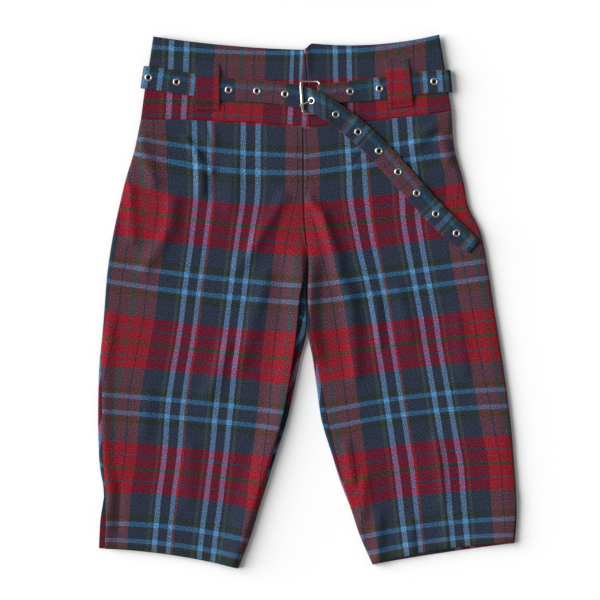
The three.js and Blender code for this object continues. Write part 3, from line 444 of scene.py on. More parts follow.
def cloth_wall(name, middles, normals, cloth, thick, material):
    """A closed cloth wall round a grid of middle points."""
    rows, columns = len(middles), len(middles[0])
    outside, inside = [], []
    for line, directions in zip(middles, normals):
        outside += [p + n * thick / 2 for p, n in zip(line, directions)]
        inside += [p - n * thick / 2 for p, n in zip(line, directions)]
    flat_cloth = [pair for line in cloth for pair in line]
    return new_piece(name, outside + inside, wall_faces(rows, columns), flat_cloth * 2, material)


# A normal leans with the surface where that is no sliver and turns it by less than 60 degrees
SLIVER = 1e-6
LEAN_LIMIT = 0.5


def soften_normals(middles, normals):
    """Leans each section's normals with the slope of the surface along and across it."""
    rows, columns = len(middles), len(middles[0])
    for row in range(rows):
        up, down = middles[max(row - 1, 0)], middles[min(row + 1, rows - 1)]
        for column in range(columns):
            along = down[column] - up[column]
            left, right = middles[row][max(column - 1, 0)], middles[row][min(column + 1, columns - 1)]
            square = (right - left).cross(along)
            if square.length < SLIVER:
                continue
            square.normalize()
            if square.dot(normals[row][column]) < 0:
                square = -square
            if square.dot(normals[row][column]) > LEAN_LIMIT:
                normals[row][column] = square


# Waves of the cloth: their length across and down it, and their height
BROAD_WAVES = (46, 70, 0.55)
FINE_WAVES = (15, 21, 0.16)


def small_waves(x, y, seed):
    """The slight unevenness of cloth that lies flat."""
    across, down, height = BROAD_WAVES
    broad = noise.noise(Vector((x / across + seed, y / down, seed))) * height
    across, down, height = FINE_WAVES
    return broad + noise.noise(Vector((x / across, y / down + seed, seed * 2))) * height


LEG_STEP = {"front": 2.8, "back": 5.0}
LEG_FLAT_STEPS = {"front": 104, "back": 50}
LEG_SEED = {"left": 1.7, "right": 5.3}
# How far the front panels stand off the back ones, and where their relief begins at the sides and the waist
PUFF = 0.35
RELIEF_FROM_SIDE = (1, 9)
RELIEF_FROM_WAIST = (-88, -70)
HEM_LIFT_REACH = 60
# The turned-up hem: its depth, how far it stands out and over what length
HEM_TURN = 11
HEM_SWELL = 0.7
HEM_EASE = 3


def leg_panel(side, layer, material):
    """A leg's front or back panel, from the waist seam to the hem."""
    rows = LEGS[side]
    top, bottom = rows[0]["down"], rows[-1]["down"]
    count = round((bottom - top) / LEG_STEP[layer])
    lines = [top + step * (bottom - top) / count for step in range(count + 1)]

    def relief(x, y, from_outer, from_inner, down):
        if layer == "back":
            return 0.0
        height = fold_height(FOLDS[side], x, y) + PUFF + small_waves(x, y, LEG_SEED[side])
        height *= smooth(*RELIEF_FROM_SIDE, min(from_outer, from_inner))
        height += edge_ridge_height(EDGE_RIDGES[side], from_outer, from_inner, down)
        height += HEM_SWELL * smooth(bottom - HEM_TURN, bottom - HEM_TURN + HEM_EASE, down)
        return height * smooth(*RELIEF_FROM_WAIST, down)

    middles, normals, cloth = [], [], []
    for down in lines:
        row = read_row(rows, down)
        if down == top:
            row["outer_y"] -= SEAM_GAP / 2
            row["inner_y"] -= SEAM_GAP / 2
        if layer == "front":
            row["lift"] = FRONT_HEM_LIFT[side] * smooth(bottom - HEM_LIFT_REACH, bottom, down)
        points, directions = section(layer, row, smooth(*SLIT, down), 1 - smooth(*CROTCH, down), relief,
                                     LEG_FLAT_STEPS[layer])
        middles.append(points)
        normals.append(directions)
        cloth.append(front_cloth(side, row, points) if layer == "front" else back_cloth(side, row, points))
    soften_normals(middles, normals)
    return cloth_wall(f"{side}_leg_{layer}", middles, normals, cloth, CLOTH, material)


def front_cloth(side, row, points):
    """Warp and weft at the points of a front section, from the two warp lines that cross it."""
    lengths = travels(points)
    order = 1 if side == "left" else -1
    xs = [p.x * order for p in points]
    at_a, at_b = (float(np.interp(row[name] * order, xs, lengths)) for name in ("line_a", "line_b"))
    warp_a, warp_b = LINES[side]
    rate = (warp_b - warp_a) / (at_b - at_a)
    weft = read_row(LEG_WEFT[side], row["down"])
    pairs = []
    for length in lengths:
        share = length / lengths[-1]
        bow = weft["bow"] * 4 * share * (1 - share)
        pairs.append((warp_a + (length - at_a) * rate, mix(weft["outer"], weft["inner"], share) + bow))
    return pairs


BACK_TURN = {"left": 14, "right": -8.7}
# The left back panel's weft start is set so that a darker check, red weft over navy warp, lies at its side
# slit: painted shade for the shadow inside the slit
BACK_START = {"left": (143.9, 50), "right": (7, 10.5)}


def back_cloth(side, row, points):
    """The back panel is cut on a slant to the cloth, so its checks run at an angle."""
    lengths = travels(points)
    turn = math.radians(BACK_TURN[side])
    warp_start, weft_start = BACK_START[side]
    pairs = []
    for length in lengths:
        warp = length * math.cos(turn) - row["down"] * math.sin(turn)
        weft = length * math.sin(turn) + row["down"] * math.cos(turn)
        pairs.append((warp_start + warp, weft_start + weft))
    return pairs


BAND_STEP = 3.5
BAND_FLAT_STEPS = 60


def band_lines():
    last = LEFT_BAND[-1]["down"]
    count = round(last / BAND_STEP)
    return [last * step / count for step in range(count + 1)]


def band_row(rows, down):
    row = read_row(rows, down)
    row["low"], row["high"] = BAND_BACK_Z, BAND_FRONT_Z
    row["side_seam"], row["inseam"] = SEAM_GAP, SEWN_SHUT
    if down == rows[-1]["down"]:
        row["outer_y"] += SEAM_GAP / 2
        row["inner_y"] += SEAM_GAP / 2
    return row


# The cloth of the waistband is pulled at the sides and eased in towards the centre front, most of
# all above the belt, where the centre seam stands up in a soft peak
PULLED = 0.95
EASED = 1.035
PEAK_EASE = 0.65
PEAK_FROM = 66.7
PEAK_RISE = 2.4
PEAK_REACH = 11
PEAK_ENDS = (30, 46)
EASE_ENDS = (52, 66)
# The right half's top inner corner sinks behind the peak
TOP_DIP = 8.5
TOP_DIP_REACH = (10, -1)
TOP_DIP_DEPTH = 16

# The waistband's small waves: how much closer than on the legs across and down, and their height;
# then where they begin at the sides, the top and the seam
BAND_WAVES = (2.2, 0.6, 0.35)
BAND_SEED = {"left": 2.1, "right": 7.9}
WAVES_FROM_SIDE = (4, 22)
WAVES_FROM_TOP = (0, 12)
WAVES_FROM_SEAM = (108, 96)


def band_cloth(row, points, side):
    """Warp from the point straight above warp zero, weft between the two ends."""
    lengths = travels(points)
    to_middle = 1 if side == "left" else -1
    at_peak = PEAK_EASE * (1 - smooth(*EASE_ENDS, row["down"])) if side == "left" else 0
    pairs = []
    for p, length in zip(points, lengths):
        offset = p.x - row["zero_x"]
        rate = EASED if offset * to_middle > 0 else PULLED
        warp = offset * rate + max(offset - PEAK_FROM, 0) * at_peak
        pairs.append((warp, mix(row["weft_out"], row["weft_in"], length / lengths[-1])))
    return pairs


def front_band(side, material):
    """Half of the front waistband, from the side to the centre front."""
    closer_across, closer_down, wave_height = BAND_WAVES

    def relief(x, y, from_outer, from_inner, down):
        waves = small_waves(x * closer_across, y * closer_down, BAND_SEED[side]) * wave_height
        waves *= smooth(*WAVES_FROM_SIDE, min(from_outer, from_inner))
        peak = PEAK_RISE * smooth(PEAK_REACH, 0, from_inner) * (1 - smooth(*PEAK_ENDS, down))
        return waves * smooth(*WAVES_FROM_TOP, down) * smooth(*WAVES_FROM_SEAM, down) + peak

    middles, normals, cloth = [], [], []
    for down in band_lines():
        row = band_row(BANDS[side], down)
        points, directions = section("front", row, 0, 1, relief, BAND_FLAT_STEPS)
        if side == "right":
            for p in points:
                p.y -= TOP_DIP * smooth(TOP_DIP_DEPTH, 0, down) * smooth(*TOP_DIP_REACH, p.x - row["inner_x"])
        middles.append(points)
        normals.append(directions)
        cloth.append(band_cloth(row, points, side))
    return cloth_wall(f"{side}_waistband", middles, normals, cloth, CLOTH, material)


def back_band(material):
    """The back waistband runs from one side to the other in one piece."""
    middles, normals, cloth = [], [], []
    for down in band_lines():
        left, right = band_row(LEFT_BAND, down), band_row(RIGHT_BAND, down)
        drop = BACK_BAND_DROP * (1 - smooth(*BACK_DROP_ENDS, down))
        middle_x = (left["inner_x"] + right["inner_x"]) / 2
        middle_y = (left["inner_y"] + right["inner_y"]) / 2 - drop
        halves = []
        for row in (left, right):
            row["inner_x"], row["inner_y"] = middle_x, middle_y
            row["outer_y"] -= drop * BACK_SIDE_DROP
            row["inseam"] = 0
            halves.append(section("back", row, 0, 1, lambda *_: 0.0, BAND_FLAT_STEPS))
        points = halves[0][0][:-1] + halves[1][0][:-1][::-1]
        middles.append(points)
        normals.append(halves[0][1][:-1] + halves[1][1][:-1][::-1])
        cloth.append([(length, down + BACK_BAND_WEFT) for length in travels(points)])
    return cloth_wall("back_waistband", middles, normals, cloth, CLOTH, material)


PATH_SAMPLES = 1600
PATH_NUDGE = 1e-4
# How strongly a path's upper layer is preferred where two layers lie at one place
UPPER_PULL = 0.3


class Path:
    """A smooth curve through points; centripetal, or of a given tension."""

    def __init__(self, points, tension=None):
        self.points = [Vector(p) for p in points]
        self.tension = tension
        self.spans = len(self.points) - 1
        self.samples = np.array([self.at(i / PATH_SAMPLES) for i in range(PATH_SAMPLES + 1)])
        steps = np.linalg.norm(np.diff(self.samples, axis=0), axis=1)
        self.lengths = np.concatenate([[0], np.cumsum(steps)])
        self.length = float(self.lengths[-1])

    def at(self, parameter):
        place = clamp(parameter, 0, 1) * self.spans
        index = min(int(place), self.spans - 1)
        share = place - index
        points = self.points
        begin, to = points[index], points[index + 1]
        before = points[index - 1] if index else begin * 2 - to
        after = points[index + 2] if index + 2 <= self.spans else to * 2 - begin
        if self.tension is None:
            first, middle, last = ((b - a).length ** 0.5 or 1.0 for a, b in
                                   ((before, begin), (begin, to), (to, after)))
            slope = (begin - before) / first - (to - before) / (first + middle) + (to - begin) / middle
            slope_to = (to - begin) / middle - (after - begin) / (middle + last) + (after - to) / last
            slope, slope_to = slope * middle, slope_to * middle
        else:
            slope = (to - before) * self.tension
            slope_to = (after - begin) * self.tension
        return smooth_way(begin, to, slope, slope_to, share)

    def direction(self, parameter):
        near, far = max(parameter - PATH_NUDGE, 0), min(parameter + PATH_NUDGE, 1)
        return (self.at(far) - self.at(near)).normalized()

    def parameter(self, distance):
        return float(np.interp(distance, self.lengths, np.linspace(0, 1, len(self.lengths))))

    def distance_near(self, x, y):
        """Distance along the path at which its upper layer comes nearest to a place seen from above."""
        away = np.hypot(self.samples[:, 0] - x, self.samples[:, 1] - y) - self.samples[:, 2] * UPPER_PULL
        return float(self.lengths[int(np.argmin(away))])


def arc_points(centre_x, centre_z, radius, from_degrees, to_degrees, steps, y_at):
    points = []
    for step in range(steps + 1):
        angle = math.radians(mix(from_degrees, to_degrees, step / steps))
        x = centre_x + radius * math.cos(angle)
        points.append((x, y_at(x), centre_z + radius * math.sin(angle)))
    return points


def level_across(direction):
    return Vector((-direction.y, direction.x, 0)).normalized()


class Strip:
    """A flat strip of cloth along a path, with its place in the tartan along and across it."""

    def __init__(self, curve, across_at, width_at, thick):
        self.curve = curve
        self.across_at = across_at
        self.width_at = width_at
        self.thick = thick

    def station(self, parameter):
        middle = self.curve.at(parameter)
        direction = self.curve.direction(parameter)
        across = self.across_at(direction, middle)
        outward = direction.cross(across)
        square = outward.length
        return middle, across, outward.normalized(), square

    def frame_at(self, distance):
        """Turns sizes along, across and out of the strip into a place near a distance along it."""
        middle, across, outward, _ = self.station(self.curve.parameter(distance))
        side = across.cross(outward)
        return lambda a, b, height: middle + side * a + across * b + outward * height

    def parameters(self, longest_step):
        result = [0.0]
        spans = self.curve.spans
        for span in range(spans):
            length = (self.curve.points[span + 1] - self.curve.points[span]).length
            steps = max(1, round(length / longest_step))
            result += [(span + step / steps) / spans for step in range(1, steps + 1)]
        return result

    def rings(self, outline_at, longest_step):
        """Points of each section, from outlines of places across and heights."""
        rings, places = [], []
        samples = np.linspace(0, 1, len(self.curve.lengths))
        for parameter in self.parameters(longest_step):
            middle, across, outward, square = self.station(parameter)
            outline = outline_at(self.width_at(middle))
            rings.append([middle + across * (c / square) + outward * h for c, h in outline])
            distance = float(np.interp(parameter, samples, self.curve.lengths))
            places.append([(distance, c, h) for c, h in outline])
        return rings, places


def rounded_outline(thick, corner, steps=3, flats=6):
    """A flat strip's section with rounded edges, once round."""
    def outline(width):
        half, high = width / 2 - corner, thick / 2
        points = [(mix(-half, half, i / flats), high) for i in range(flats)]
        for sign, turn in ((1, 90), (1, 0)):
            for step in range(steps + 1):
                angle = math.radians(turn - 90 * step / steps)
                rise = high - corner if turn == 90 else corner - high
                points.append((sign * half + corner * math.cos(angle), rise + corner * math.sin(angle)))
        points += [(mix(half, -half, i / flats), -high) for i in range(1, flats)]
        for turn in (270, 180):
            for step in range(steps + 1):
                angle = math.radians(turn - 90 * step / steps)
                rise = corner - high if turn == 270 else high - corner
                points.append((-half + corner * math.cos(angle), rise + corner * math.sin(angle)))
        return tidy_outline(points)
    return outline


POINT_GAP = 1e-3


def tidy_outline(points):
    """The outline without points that lie on each other."""
    kept = []
    for point in points:
        if not kept or math.dist(point, kept[-1]) > POINT_GAP:
            kept.append(point)
    if math.dist(kept[0], kept[-1]) < POINT_GAP:
        kept.pop()
    return kept


def ring_faces(rings, count, closed=False):
    faces = []
    last = rings if closed else rings - 1
    for ring in range(last):
        here, there = ring * count, (ring + 1) % rings * count
        for side in range(count):
            beside = (side + 1) % count
            faces.append((here + side, here + beside, there + beside, there + side))
    if not closed:
        faces.append(tuple(range(count - 1, -1, -1)))
        faces.append(tuple((rings - 1) * count + side for side in range(count)))
    return faces


def strip_piece(name, strip, corner, longest_step, cloth_at, material):
    rings, places = strip.rings(rounded_outline(strip.thick, corner), longest_step)
    points, cloth = [], []
    for ring, row in zip(rings, places):
        points += ring
        cloth += [cloth_at(p, *place) for p, place in zip(ring, row)]
    return new_piece(name, points, ring_faces(len(rings), len(rings[0])), cloth, material)


# Buckle bars and their places across the belt
ROLLER_BAR_X = -7.4
HINGE_BAR_X = 16.5
BUCKLE_MIDDLE_X = (ROLLER_BAR_X + HINGE_BAR_X) / 2
BUCKLE_MIDDLE_Y = 264.5
BUCKLE_HEIGHT = 41.1
BUCKLE_CORNER = 3
BUCKLE_SAG = 2.4
BUCKLE_LEAN = math.tan(math.radians(3.8))
BUCKLE_ACROSS = Vector((-BUCKLE_LEAN, 1, 0)).normalized()
UNDER_ROLLER = ROLLER_RADIUS + SEAM_GAP + BELT_THICK / 2
ROUND_HINGE = WIRE_RADIUS + SEAM_GAP + BELT_THICK / 2
OVER_HINGE = ROUND_HINGE + BELT_THICK + SEAM_GAP


def bar_shift(y):
    return (BUCKLE_MIDDLE_Y - y) * BUCKLE_LEAN


# The belt is cut in three lengths, parted under the two front loops
LEFT_LOOP_X = -129.8
RIGHT_LOOP_X = 118.2
BELT_PART = 0.8
FREE_END = [
    (31.3, 246.0, 15.4),
    (62.3, 222.8, 11.8),
    (89.1, 198.9, 10.2),
    (114, 172.3, 9.8),
    (143.7, 138.5, 9.7),
    (168.4, 111.8, 9.6),
    (191.5, 90.4, 9.6),
    (216.0, 70.6, 9.6),
]
FREE_END_NARROWS = (192, 222)
TIP_WIDTH = 19
LEFT_RUN = [(LEFT_LOOP_X + BELT_PART, 278), (-112.5, 275.3), (-76.8, 273.6), (-40.4, 271.0), (-18, 266.8)]
# Between these places the belt lies square to the buckle's bars
SQUARE_FROM = (-14, -40)
SQUARE_TO = (18, 45)
# Its middle line there: a place on it, its slope, and how it turns down past another place
IN_BUCKLE = {"x": -8, "y": 265, "slope": 0.1, "turns_at": -2, "turn": 0.1, "power": 1.5}
ROLLER_FROM = -95
HINGE_TO = 84


def level_run(places, z):
    return [(x, y, z) for x, y in places]


def buckle_end():
    """From the left loop under the roller, over the hinge bar and out as the free end."""
    lean = math.degrees(math.asin((UNDER_ROLLER + OVER_HINGE) / (HINGE_BAR_X - ROLLER_BAR_X)))

    def y_at(x):
        turned = max(x - IN_BUCKLE["turns_at"], 0) ** IN_BUCKLE["power"] * IN_BUCKLE["turn"]
        return IN_BUCKLE["y"] - (x - IN_BUCKLE["x"]) * IN_BUCKLE["slope"] - turned

    def across_at(direction, middle):
        free = smooth(*SQUARE_FROM, middle.x) + smooth(*SQUARE_TO, middle.x)
        return BUCKLE_ACROSS.lerp(level_across(direction), free).normalized()

    def width_at(middle):
        return mix(BELT_WIDTH, TIP_WIDTH, smooth(*FREE_END_NARROWS, middle.x))

    curve = Path([
        *level_run(LEFT_RUN, BELT_FRONT_Z),
        *arc_points(ROLLER_BAR_X, BUCKLE_Z, UNDER_ROLLER, ROLLER_FROM, -90 + lean, 3, y_at),
        *arc_points(HINGE_BAR_X, BUCKLE_Z, OVER_HINGE, 90 + lean, HINGE_TO, 3, y_at),
        *FREE_END,
    ])
    return Strip(curve, across_at, width_at, BELT_THICK)


# The belt past the hinge bar, under and over itself: how far from the bar, on how many layers of
# belt it lies, and how much higher it bulges there
HINGE_RUN_COLUMNS = ("past", "layers", "bulge")
HINGE_RETURN = table(HINGE_RUN_COLUMNS, [
    (28, 0, 0),
    (14, 0, 0.1),
])
HINGE_RUN = table(HINGE_RUN_COLUMNS, [
    (14, 1, 1.2),
    (28, 1, 0.1),
    (42, 0, 0.6),
    (54, 0, 0),
    (73.5, 0, 0),
])
HINGE_SLOPE = 0.105
HINGE_Y = 268.2
HINGE_WIDTH = 26.6
HINGE_WIDENS = (45, 75)


def hinge_end():
    """A short return under the belt, round the hinge bar, and on to the right loop."""
    bar_x = HINGE_BAR_X + bar_shift(HINGE_Y)

    def y_at(x):
        return HINGE_Y + (x - bar_x) * HINGE_SLOPE

    def run(rows):
        xs = [HINGE_BAR_X + row["past"] for row in rows]
        heights = [row["layers"] * (BELT_THICK + SEAM_GAP) + row["bulge"] for row in rows]
        return [(x, y_at(x), BELT_FRONT_Z + height) for x, height in zip(xs, heights)]

    def width_at(middle):
        return mix(HINGE_WIDTH, BELT_WIDTH, smooth(*HINGE_WIDENS, middle.x))

    end_x = RIGHT_LOOP_X - BELT_PART
    curve = Path([
        *run(HINGE_RETURN),
        *arc_points(bar_x, BUCKLE_Z, ROUND_HINGE, -90, -270, 8, y_at),
        *run(HINGE_RUN),
        (end_x, y_at(end_x), BELT_FRONT_Z),
    ])
    return Strip(curve, lambda *_: BUCKLE_ACROSS.copy(), width_at, BELT_THICK)


BELT_LEFT = -214.9
BELT_RIGHT = 186.9
# Middle lines of the belt's run: on the front up to each side, and over the back
FRONT_TO_LEFT = [(LEFT_LOOP_X - BELT_PART, 278), (-165, 284), (-193, 288.6)]
OVER_BACK = [(-170, 290), (-60, 288), (60, 287), (150, 286)]
FRONT_TO_RIGHT = [(160, 285), (RIGHT_LOOP_X + BELT_PART, 279.6)]
LEFT_FOLD_Y = 291
RIGHT_FOLD_Y = 286
# How far the belt's width leans from the Y axis at the left and the right
BELT_LEAN = (-0.15, 0.09)


def back_run():
    """From the left loop round the back of the waist to the right loop."""
    radius = (BELT_FRONT_Z - BELT_BACK_Z) / 2
    middle_z = (BELT_FRONT_Z + BELT_BACK_Z) / 2
    left_fold = BELT_LEFT + BELT_THICK / 2 + radius
    right_fold = BELT_RIGHT - BELT_THICK / 2 - radius

    def across_at(_, middle):
        share = clamp((middle.x - BELT_LEFT) / (BELT_RIGHT - BELT_LEFT), 0, 1)
        return Vector((mix(*BELT_LEAN, share), -1, 0)).normalized()

    curve = Path([
        *level_run(FRONT_TO_LEFT, BELT_FRONT_Z),
        *arc_points(left_fold, middle_z, radius, 90, 270, 8, lambda _: LEFT_FOLD_Y),
        *level_run(OVER_BACK, BELT_BACK_Z),
        *arc_points(right_fold, middle_z, radius, -90, 90, 8, lambda _: RIGHT_FOLD_Y),
        *level_run(FRONT_TO_RIGHT, BELT_FRONT_Z),
    ])
    return Strip(curve, across_at, lambda _: BELT_WIDTH, BELT_THICK)


# Weft of the belt's upper edge, which was cut along the cloth's warp
BELT_TOP_WEFT = 61
# The facing under the belt begins in a red band and shows at the seamed lower edge
FACING_WEFT = 137
FACING_EDGE = 1.2
FACING_RISE = 0.9


# Warp where the buckle end and the back run begin and where the back run ends
BUCKLE_END_WARP = 68.5
BACK_RUN_WARP = (70.1, -94.7)
# Where warp zero crosses the hinge end, and how much its cloth is stretched
HINGE_ZERO = (21.5, 268.7)
HINGE_STRETCH = 1.03


def buckle_end_cloth(strip):
    def cloth(p, distance, c, h):
        half = strip.width_at(p) / 2
        if h < FACING_RISE and c < FACING_EDGE - half:
            return BUCKLE_END_WARP - distance, FACING_WEFT
        return BUCKLE_END_WARP - distance, BELT_TOP_WEFT + half - c
    return cloth


def hinge_end_cloth(strip):
    start = strip.curve.distance_near(*HINGE_ZERO)

    def cloth(p, distance, c, _):
        return (start - distance) / HINGE_STRETCH, BELT_TOP_WEFT + strip.width_at(p) / 2 - c
    return cloth


def back_run_cloth(strip):
    whole = strip.curve.length
    first, final = BACK_RUN_WARP

    def cloth(_, distance, c, __):
        warp = first + distance if distance < whole / 2 else final - (whole - distance)
        return warp, BELT_TOP_WEFT + BELT_WIDTH / 2 + c
    return cloth


EYELET_WALL = 0.45
EYELET_TOP = BELT_THICK / 2 + SEAM_GAP
EYELET_PROFILE = [
    (EYELET_BORE_RADIUS, -BELT_THICK / 2),
    (EYELET_BORE_RADIUS + EYELET_WALL, -BELT_THICK / 2),
    (EYELET_BORE_RADIUS + EYELET_WALL, EYELET_TOP),
    (EYELET_FLANGE_RADIUS - 0.15, EYELET_TOP),
    (EYELET_FLANGE_RADIUS, EYELET_TOP + 0.12),
    (EYELET_FLANGE_RADIUS - 0.3, EYELET_TOP + 0.42),
    (EYELET_FLANGE_RADIUS - 0.9, EYELET_TOP + 0.62),
    (EYELET_BORE_RADIUS + 0.9, EYELET_TOP + 0.7),
    (EYELET_BORE_RADIUS + 0.35, EYELET_TOP + 0.6),
    (EYELET_BORE_RADIUS, EYELET_TOP + 0.3),
]
EYELET_SEGMENTS = 32


def turned_points(profile, segments, place):
    points = []
    for segment in range(segments):
        angle = 2 * math.pi * segment / segments
        points += [place(r * math.cos(angle), r * math.sin(angle), h) for r, h in profile]
    return points


def eyelet_piece(name, strip, distance, material):
    points = turned_points(EYELET_PROFILE, EYELET_SEGMENTS, strip.frame_at(distance))
    faces = ring_faces(EYELET_SEGMENTS, len(EYELET_PROFILE), True)
    return new_piece(name, points, faces, None, material)


def pierce(piece, strip, distances, slots=()):
    """Cuts the eyelets' holes, and any slots, through a belt length."""
    radius = EYELET_BORE_RADIUS + EYELET_WALL + SEAM_GAP
    points, faces = [], []
    for distance in distances:
        place = strip.frame_at(distance)
        first = len(points)
        for height in (-BELT_THICK, BELT_THICK):
            points += turned_points([(radius, height)], EYELET_SEGMENTS, place)
        faces += [tuple(first + index for index in face) for face in ring_faces(2, EYELET_SEGMENTS)]
    for corners in slots:
        first = len(points)
        points += corners
        faces += [tuple(first + index for index in face) for face in ring_faces(2, 4)]
    mesh = bpy.data.meshes.new("cutter")
    mesh.from_pydata([Vector(p) * MM for p in points], [], faces)
    cutter = bpy.data.objects.new("cutter", mesh)
    bpy.context.collection.objects.link(cutter)
    face_islands_outwards(cutter)
    modifier = piece.modifiers.new("holes", "BOOLEAN")
    modifier.object = cutter
    modifier.operation = "DIFFERENCE"
    modifier.solver = "EXACT"
    evaluated = piece.evaluated_get(bpy.context.evaluated_depsgraph_get())
    cut = bpy.data.meshes.new_from_object(evaluated)
    piece.modifiers.clear()
    piece.data = cut
    bpy.data.objects.remove(cutter)


def face_islands_outwards(piece):
    bm = bmesh.new()
    bm.from_mesh(piece.data)
    bmesh.ops.recalc_face_normals(bm, faces=bm.faces)
    bm.to_mesh(piece.data)
    bm.free()


# How far beyond the belt's edge a loop leaves the waistband, comes to the belt's height, and lies flat
LOOP_TURN = (7, 1.6, -5)
BACK_LOOP_TURN = (6, 1.6, -5)
LOOP_TENSION = 0.2
BACK_LOOP_X = -10
BACK_LOOP_TOP = 314
BACK_LOOP_BOTTOM = 256
BACK_BELT_Y = 287.6


def over_belt(ends, belt_edges, turn, at_band, at_belt):
    """Places and heights down a loop that leaves the waistband, crosses the belt and comes back."""
    (top, bottom), (belt_top, belt_bottom), (leaves, reaches, flat) = ends, belt_edges, turn
    return [
        (top, at_band),
        (belt_top + leaves, at_band),
        (belt_top + reaches, at_belt),
        (belt_top + flat, at_belt),
        (belt_bottom - flat, at_belt),
        (belt_bottom - reaches, at_belt),
        (belt_bottom - leaves, at_band),
        (bottom, at_band),
    ]


def loop_along(points, width, thick):
    curve = Path(points, LOOP_TENSION)
    return Strip(curve, lambda direction, _: level_across(direction), lambda _: width, thick)


def loop_strip(ends, belt_edges):
    """A loop that lies down the waistband and rises over the belt."""
    top_x, top_y, bottom_x, bottom_y = ends
    at_band = BAND_FRONT_Z + CLOTH / 2 + SEAM_GAP + LOOP_THICK / 2
    at_belt = BELT_FRONT_Z + BELT_THICK / 2 + SEAM_GAP + LOOP_THICK / 2
    stations = over_belt((top_y, bottom_y), belt_edges, LOOP_TURN, at_band, at_belt)
    points = [(mix(top_x, bottom_x, (top_y - y) / (top_y - bottom_y)), y, z) for y, z in stations]
    return loop_along(points, LOOP_WIDTH, LOOP_THICK)


def back_loop_strip():
    """The loop at the back, which the garment lies on."""
    at_band = BAND_BACK_Z - CLOTH / 2 - SEAM_GAP - BACK_LOOP_THICK / 2
    at_belt = BACK_LOOP_THICK / 2 + LOOP_CLEAR
    ends = (BACK_LOOP_TOP, BACK_LOOP_BOTTOM)
    belt_edges = (BACK_BELT_Y + BELT_WIDTH / 2, BACK_BELT_Y - BELT_WIDTH / 2)
    stations = over_belt(ends, belt_edges, BACK_LOOP_TURN, at_band, at_belt)
    return loop_along([(BACK_LOOP_X, y, z) for y, z in stations], BACK_LOOP_WIDTH, BACK_LOOP_THICK)


WIRE_SIDES = 20
CORNER_STEPS = 8
BAR_STEPS = 12
ROLLER_SEGMENTS = 40
ROLLER_BEVEL = 0.3
ROLLER_PLAY = 0.4
BOW_EDGE = 0.4
PRONG_STEPS = 90
PRONG_Y = 262.9
# The prong's ends are rounded over its last steps
PRONG_BLUNT = 0.25


def buckle_spot(x, y, z):
    return Vector((x + bar_shift(y), y, z))


def buckle_rings():
    """Rings of the frame's wire: a rounded rectangle whose long sides bow down a little."""
    half_width = (HINGE_BAR_X - ROLLER_BAR_X) / 2
    half_height = BUCKLE_HEIGHT / 2
    straight_x, straight_y = half_width - BUCKLE_CORNER, half_height - BUCKLE_CORNER
    rings = []

    def add_ring(x, y, out_x, out_y):
        share = clamp((x + half_width) / (2 * half_width), 0, 1)
        bowed = smooth(straight_y, half_height - BOW_EDGE, abs(y))
        z = BUCKLE_Z - BUCKLE_SAG * math.sin(math.pi * share) * bowed
        ring = []
        for side in range(WIRE_SIDES):
            angle = 2 * math.pi * side / WIRE_SIDES
            reach = WIRE_RADIUS * math.cos(angle)
            spot_x = BUCKLE_MIDDLE_X + x + out_x * reach
            spot_y = BUCKLE_MIDDLE_Y + y + out_y * reach
            ring.append(buckle_spot(spot_x, spot_y, z + WIRE_RADIUS * math.sin(angle)))
        rings.append(ring)

    for index, (sign_x, sign_y) in enumerate(((1, 1), (-1, 1), (-1, -1), (1, -1))):
        for step in range(CORNER_STEPS + 1):
            angle = math.radians(90 * (index + step / CORNER_STEPS))
            out_x, out_y = math.cos(angle), math.sin(angle)
            corner_x, corner_y = BUCKLE_CORNER * out_x, BUCKLE_CORNER * out_y
            add_ring(sign_x * straight_x + corner_x, sign_y * straight_y + corner_y, out_x, out_y)
        if sign_x == sign_y:
            for step in range(1, BAR_STEPS):
                x = sign_x * mix(straight_x, -straight_x, step / BAR_STEPS)
                add_ring(x, sign_y * half_height, 0, sign_y)
    return rings


def buckle_frame(material):
    rings = buckle_rings()
    points = [p for ring in rings for p in ring]
    return new_piece("buckle_frame_fine", points, ring_faces(len(rings), WIRE_SIDES, True), None, material)


def buckle_roller(material):
    """A tube round the roller bar, with bevelled ends."""
    bore = WIRE_RADIUS + SEAM_GAP
    rim = ROLLER_RADIUS - ROLLER_BEVEL
    half = BUCKLE_HEIGHT / 2 - BUCKLE_CORNER - ROLLER_PLAY
    profile = [(bore, -half), (rim, -half), (ROLLER_RADIUS, ROLLER_BEVEL - half),
               (ROLLER_RADIUS, half - ROLLER_BEVEL), (rim, half), (bore, half)]

    def place(a, b, height):
        return buckle_spot(ROLLER_BAR_X + a, BUCKLE_MIDDLE_Y + height, BUCKLE_Z + b)

    points = turned_points(profile, ROLLER_SEGMENTS, place)
    faces = ring_faces(ROLLER_SEGMENTS, len(profile), True)
    return new_piece("buckle_roller_fine", points, faces, None, material)


def prong_path(eyelet_place):
    """From the hinge bar up through the belt's eyelet and over to the roller."""
    rest = BUCKLE_Z + ROLLER_RADIUS + SEAM_GAP + PRONG_RADIUS
    start = HINGE_BAR_X + bar_shift(PRONG_Y) - WIRE_RADIUS - SEAM_GAP
    above = eyelet_place(0, 0, 3.0)
    return Path([
        (start, PRONG_Y, BUCKLE_Z - 0.4),
        (start - 3.2, PRONG_Y - 0.2, BUCKLE_Z - 1.9),
        eyelet_place(0.6, 0, -3.9),
        eyelet_place(0.1, 0, -1.8),
        eyelet_place(0, 0, 0.6),
        above,
        (above.x - 2.2, above.y - 0.9, rest + 0.9),
        (above.x - 5.4, above.y - 2.4, rest + 0.7),
        (ROLLER_BAR_X - 2.4, above.y - 6.2, rest),
    ])


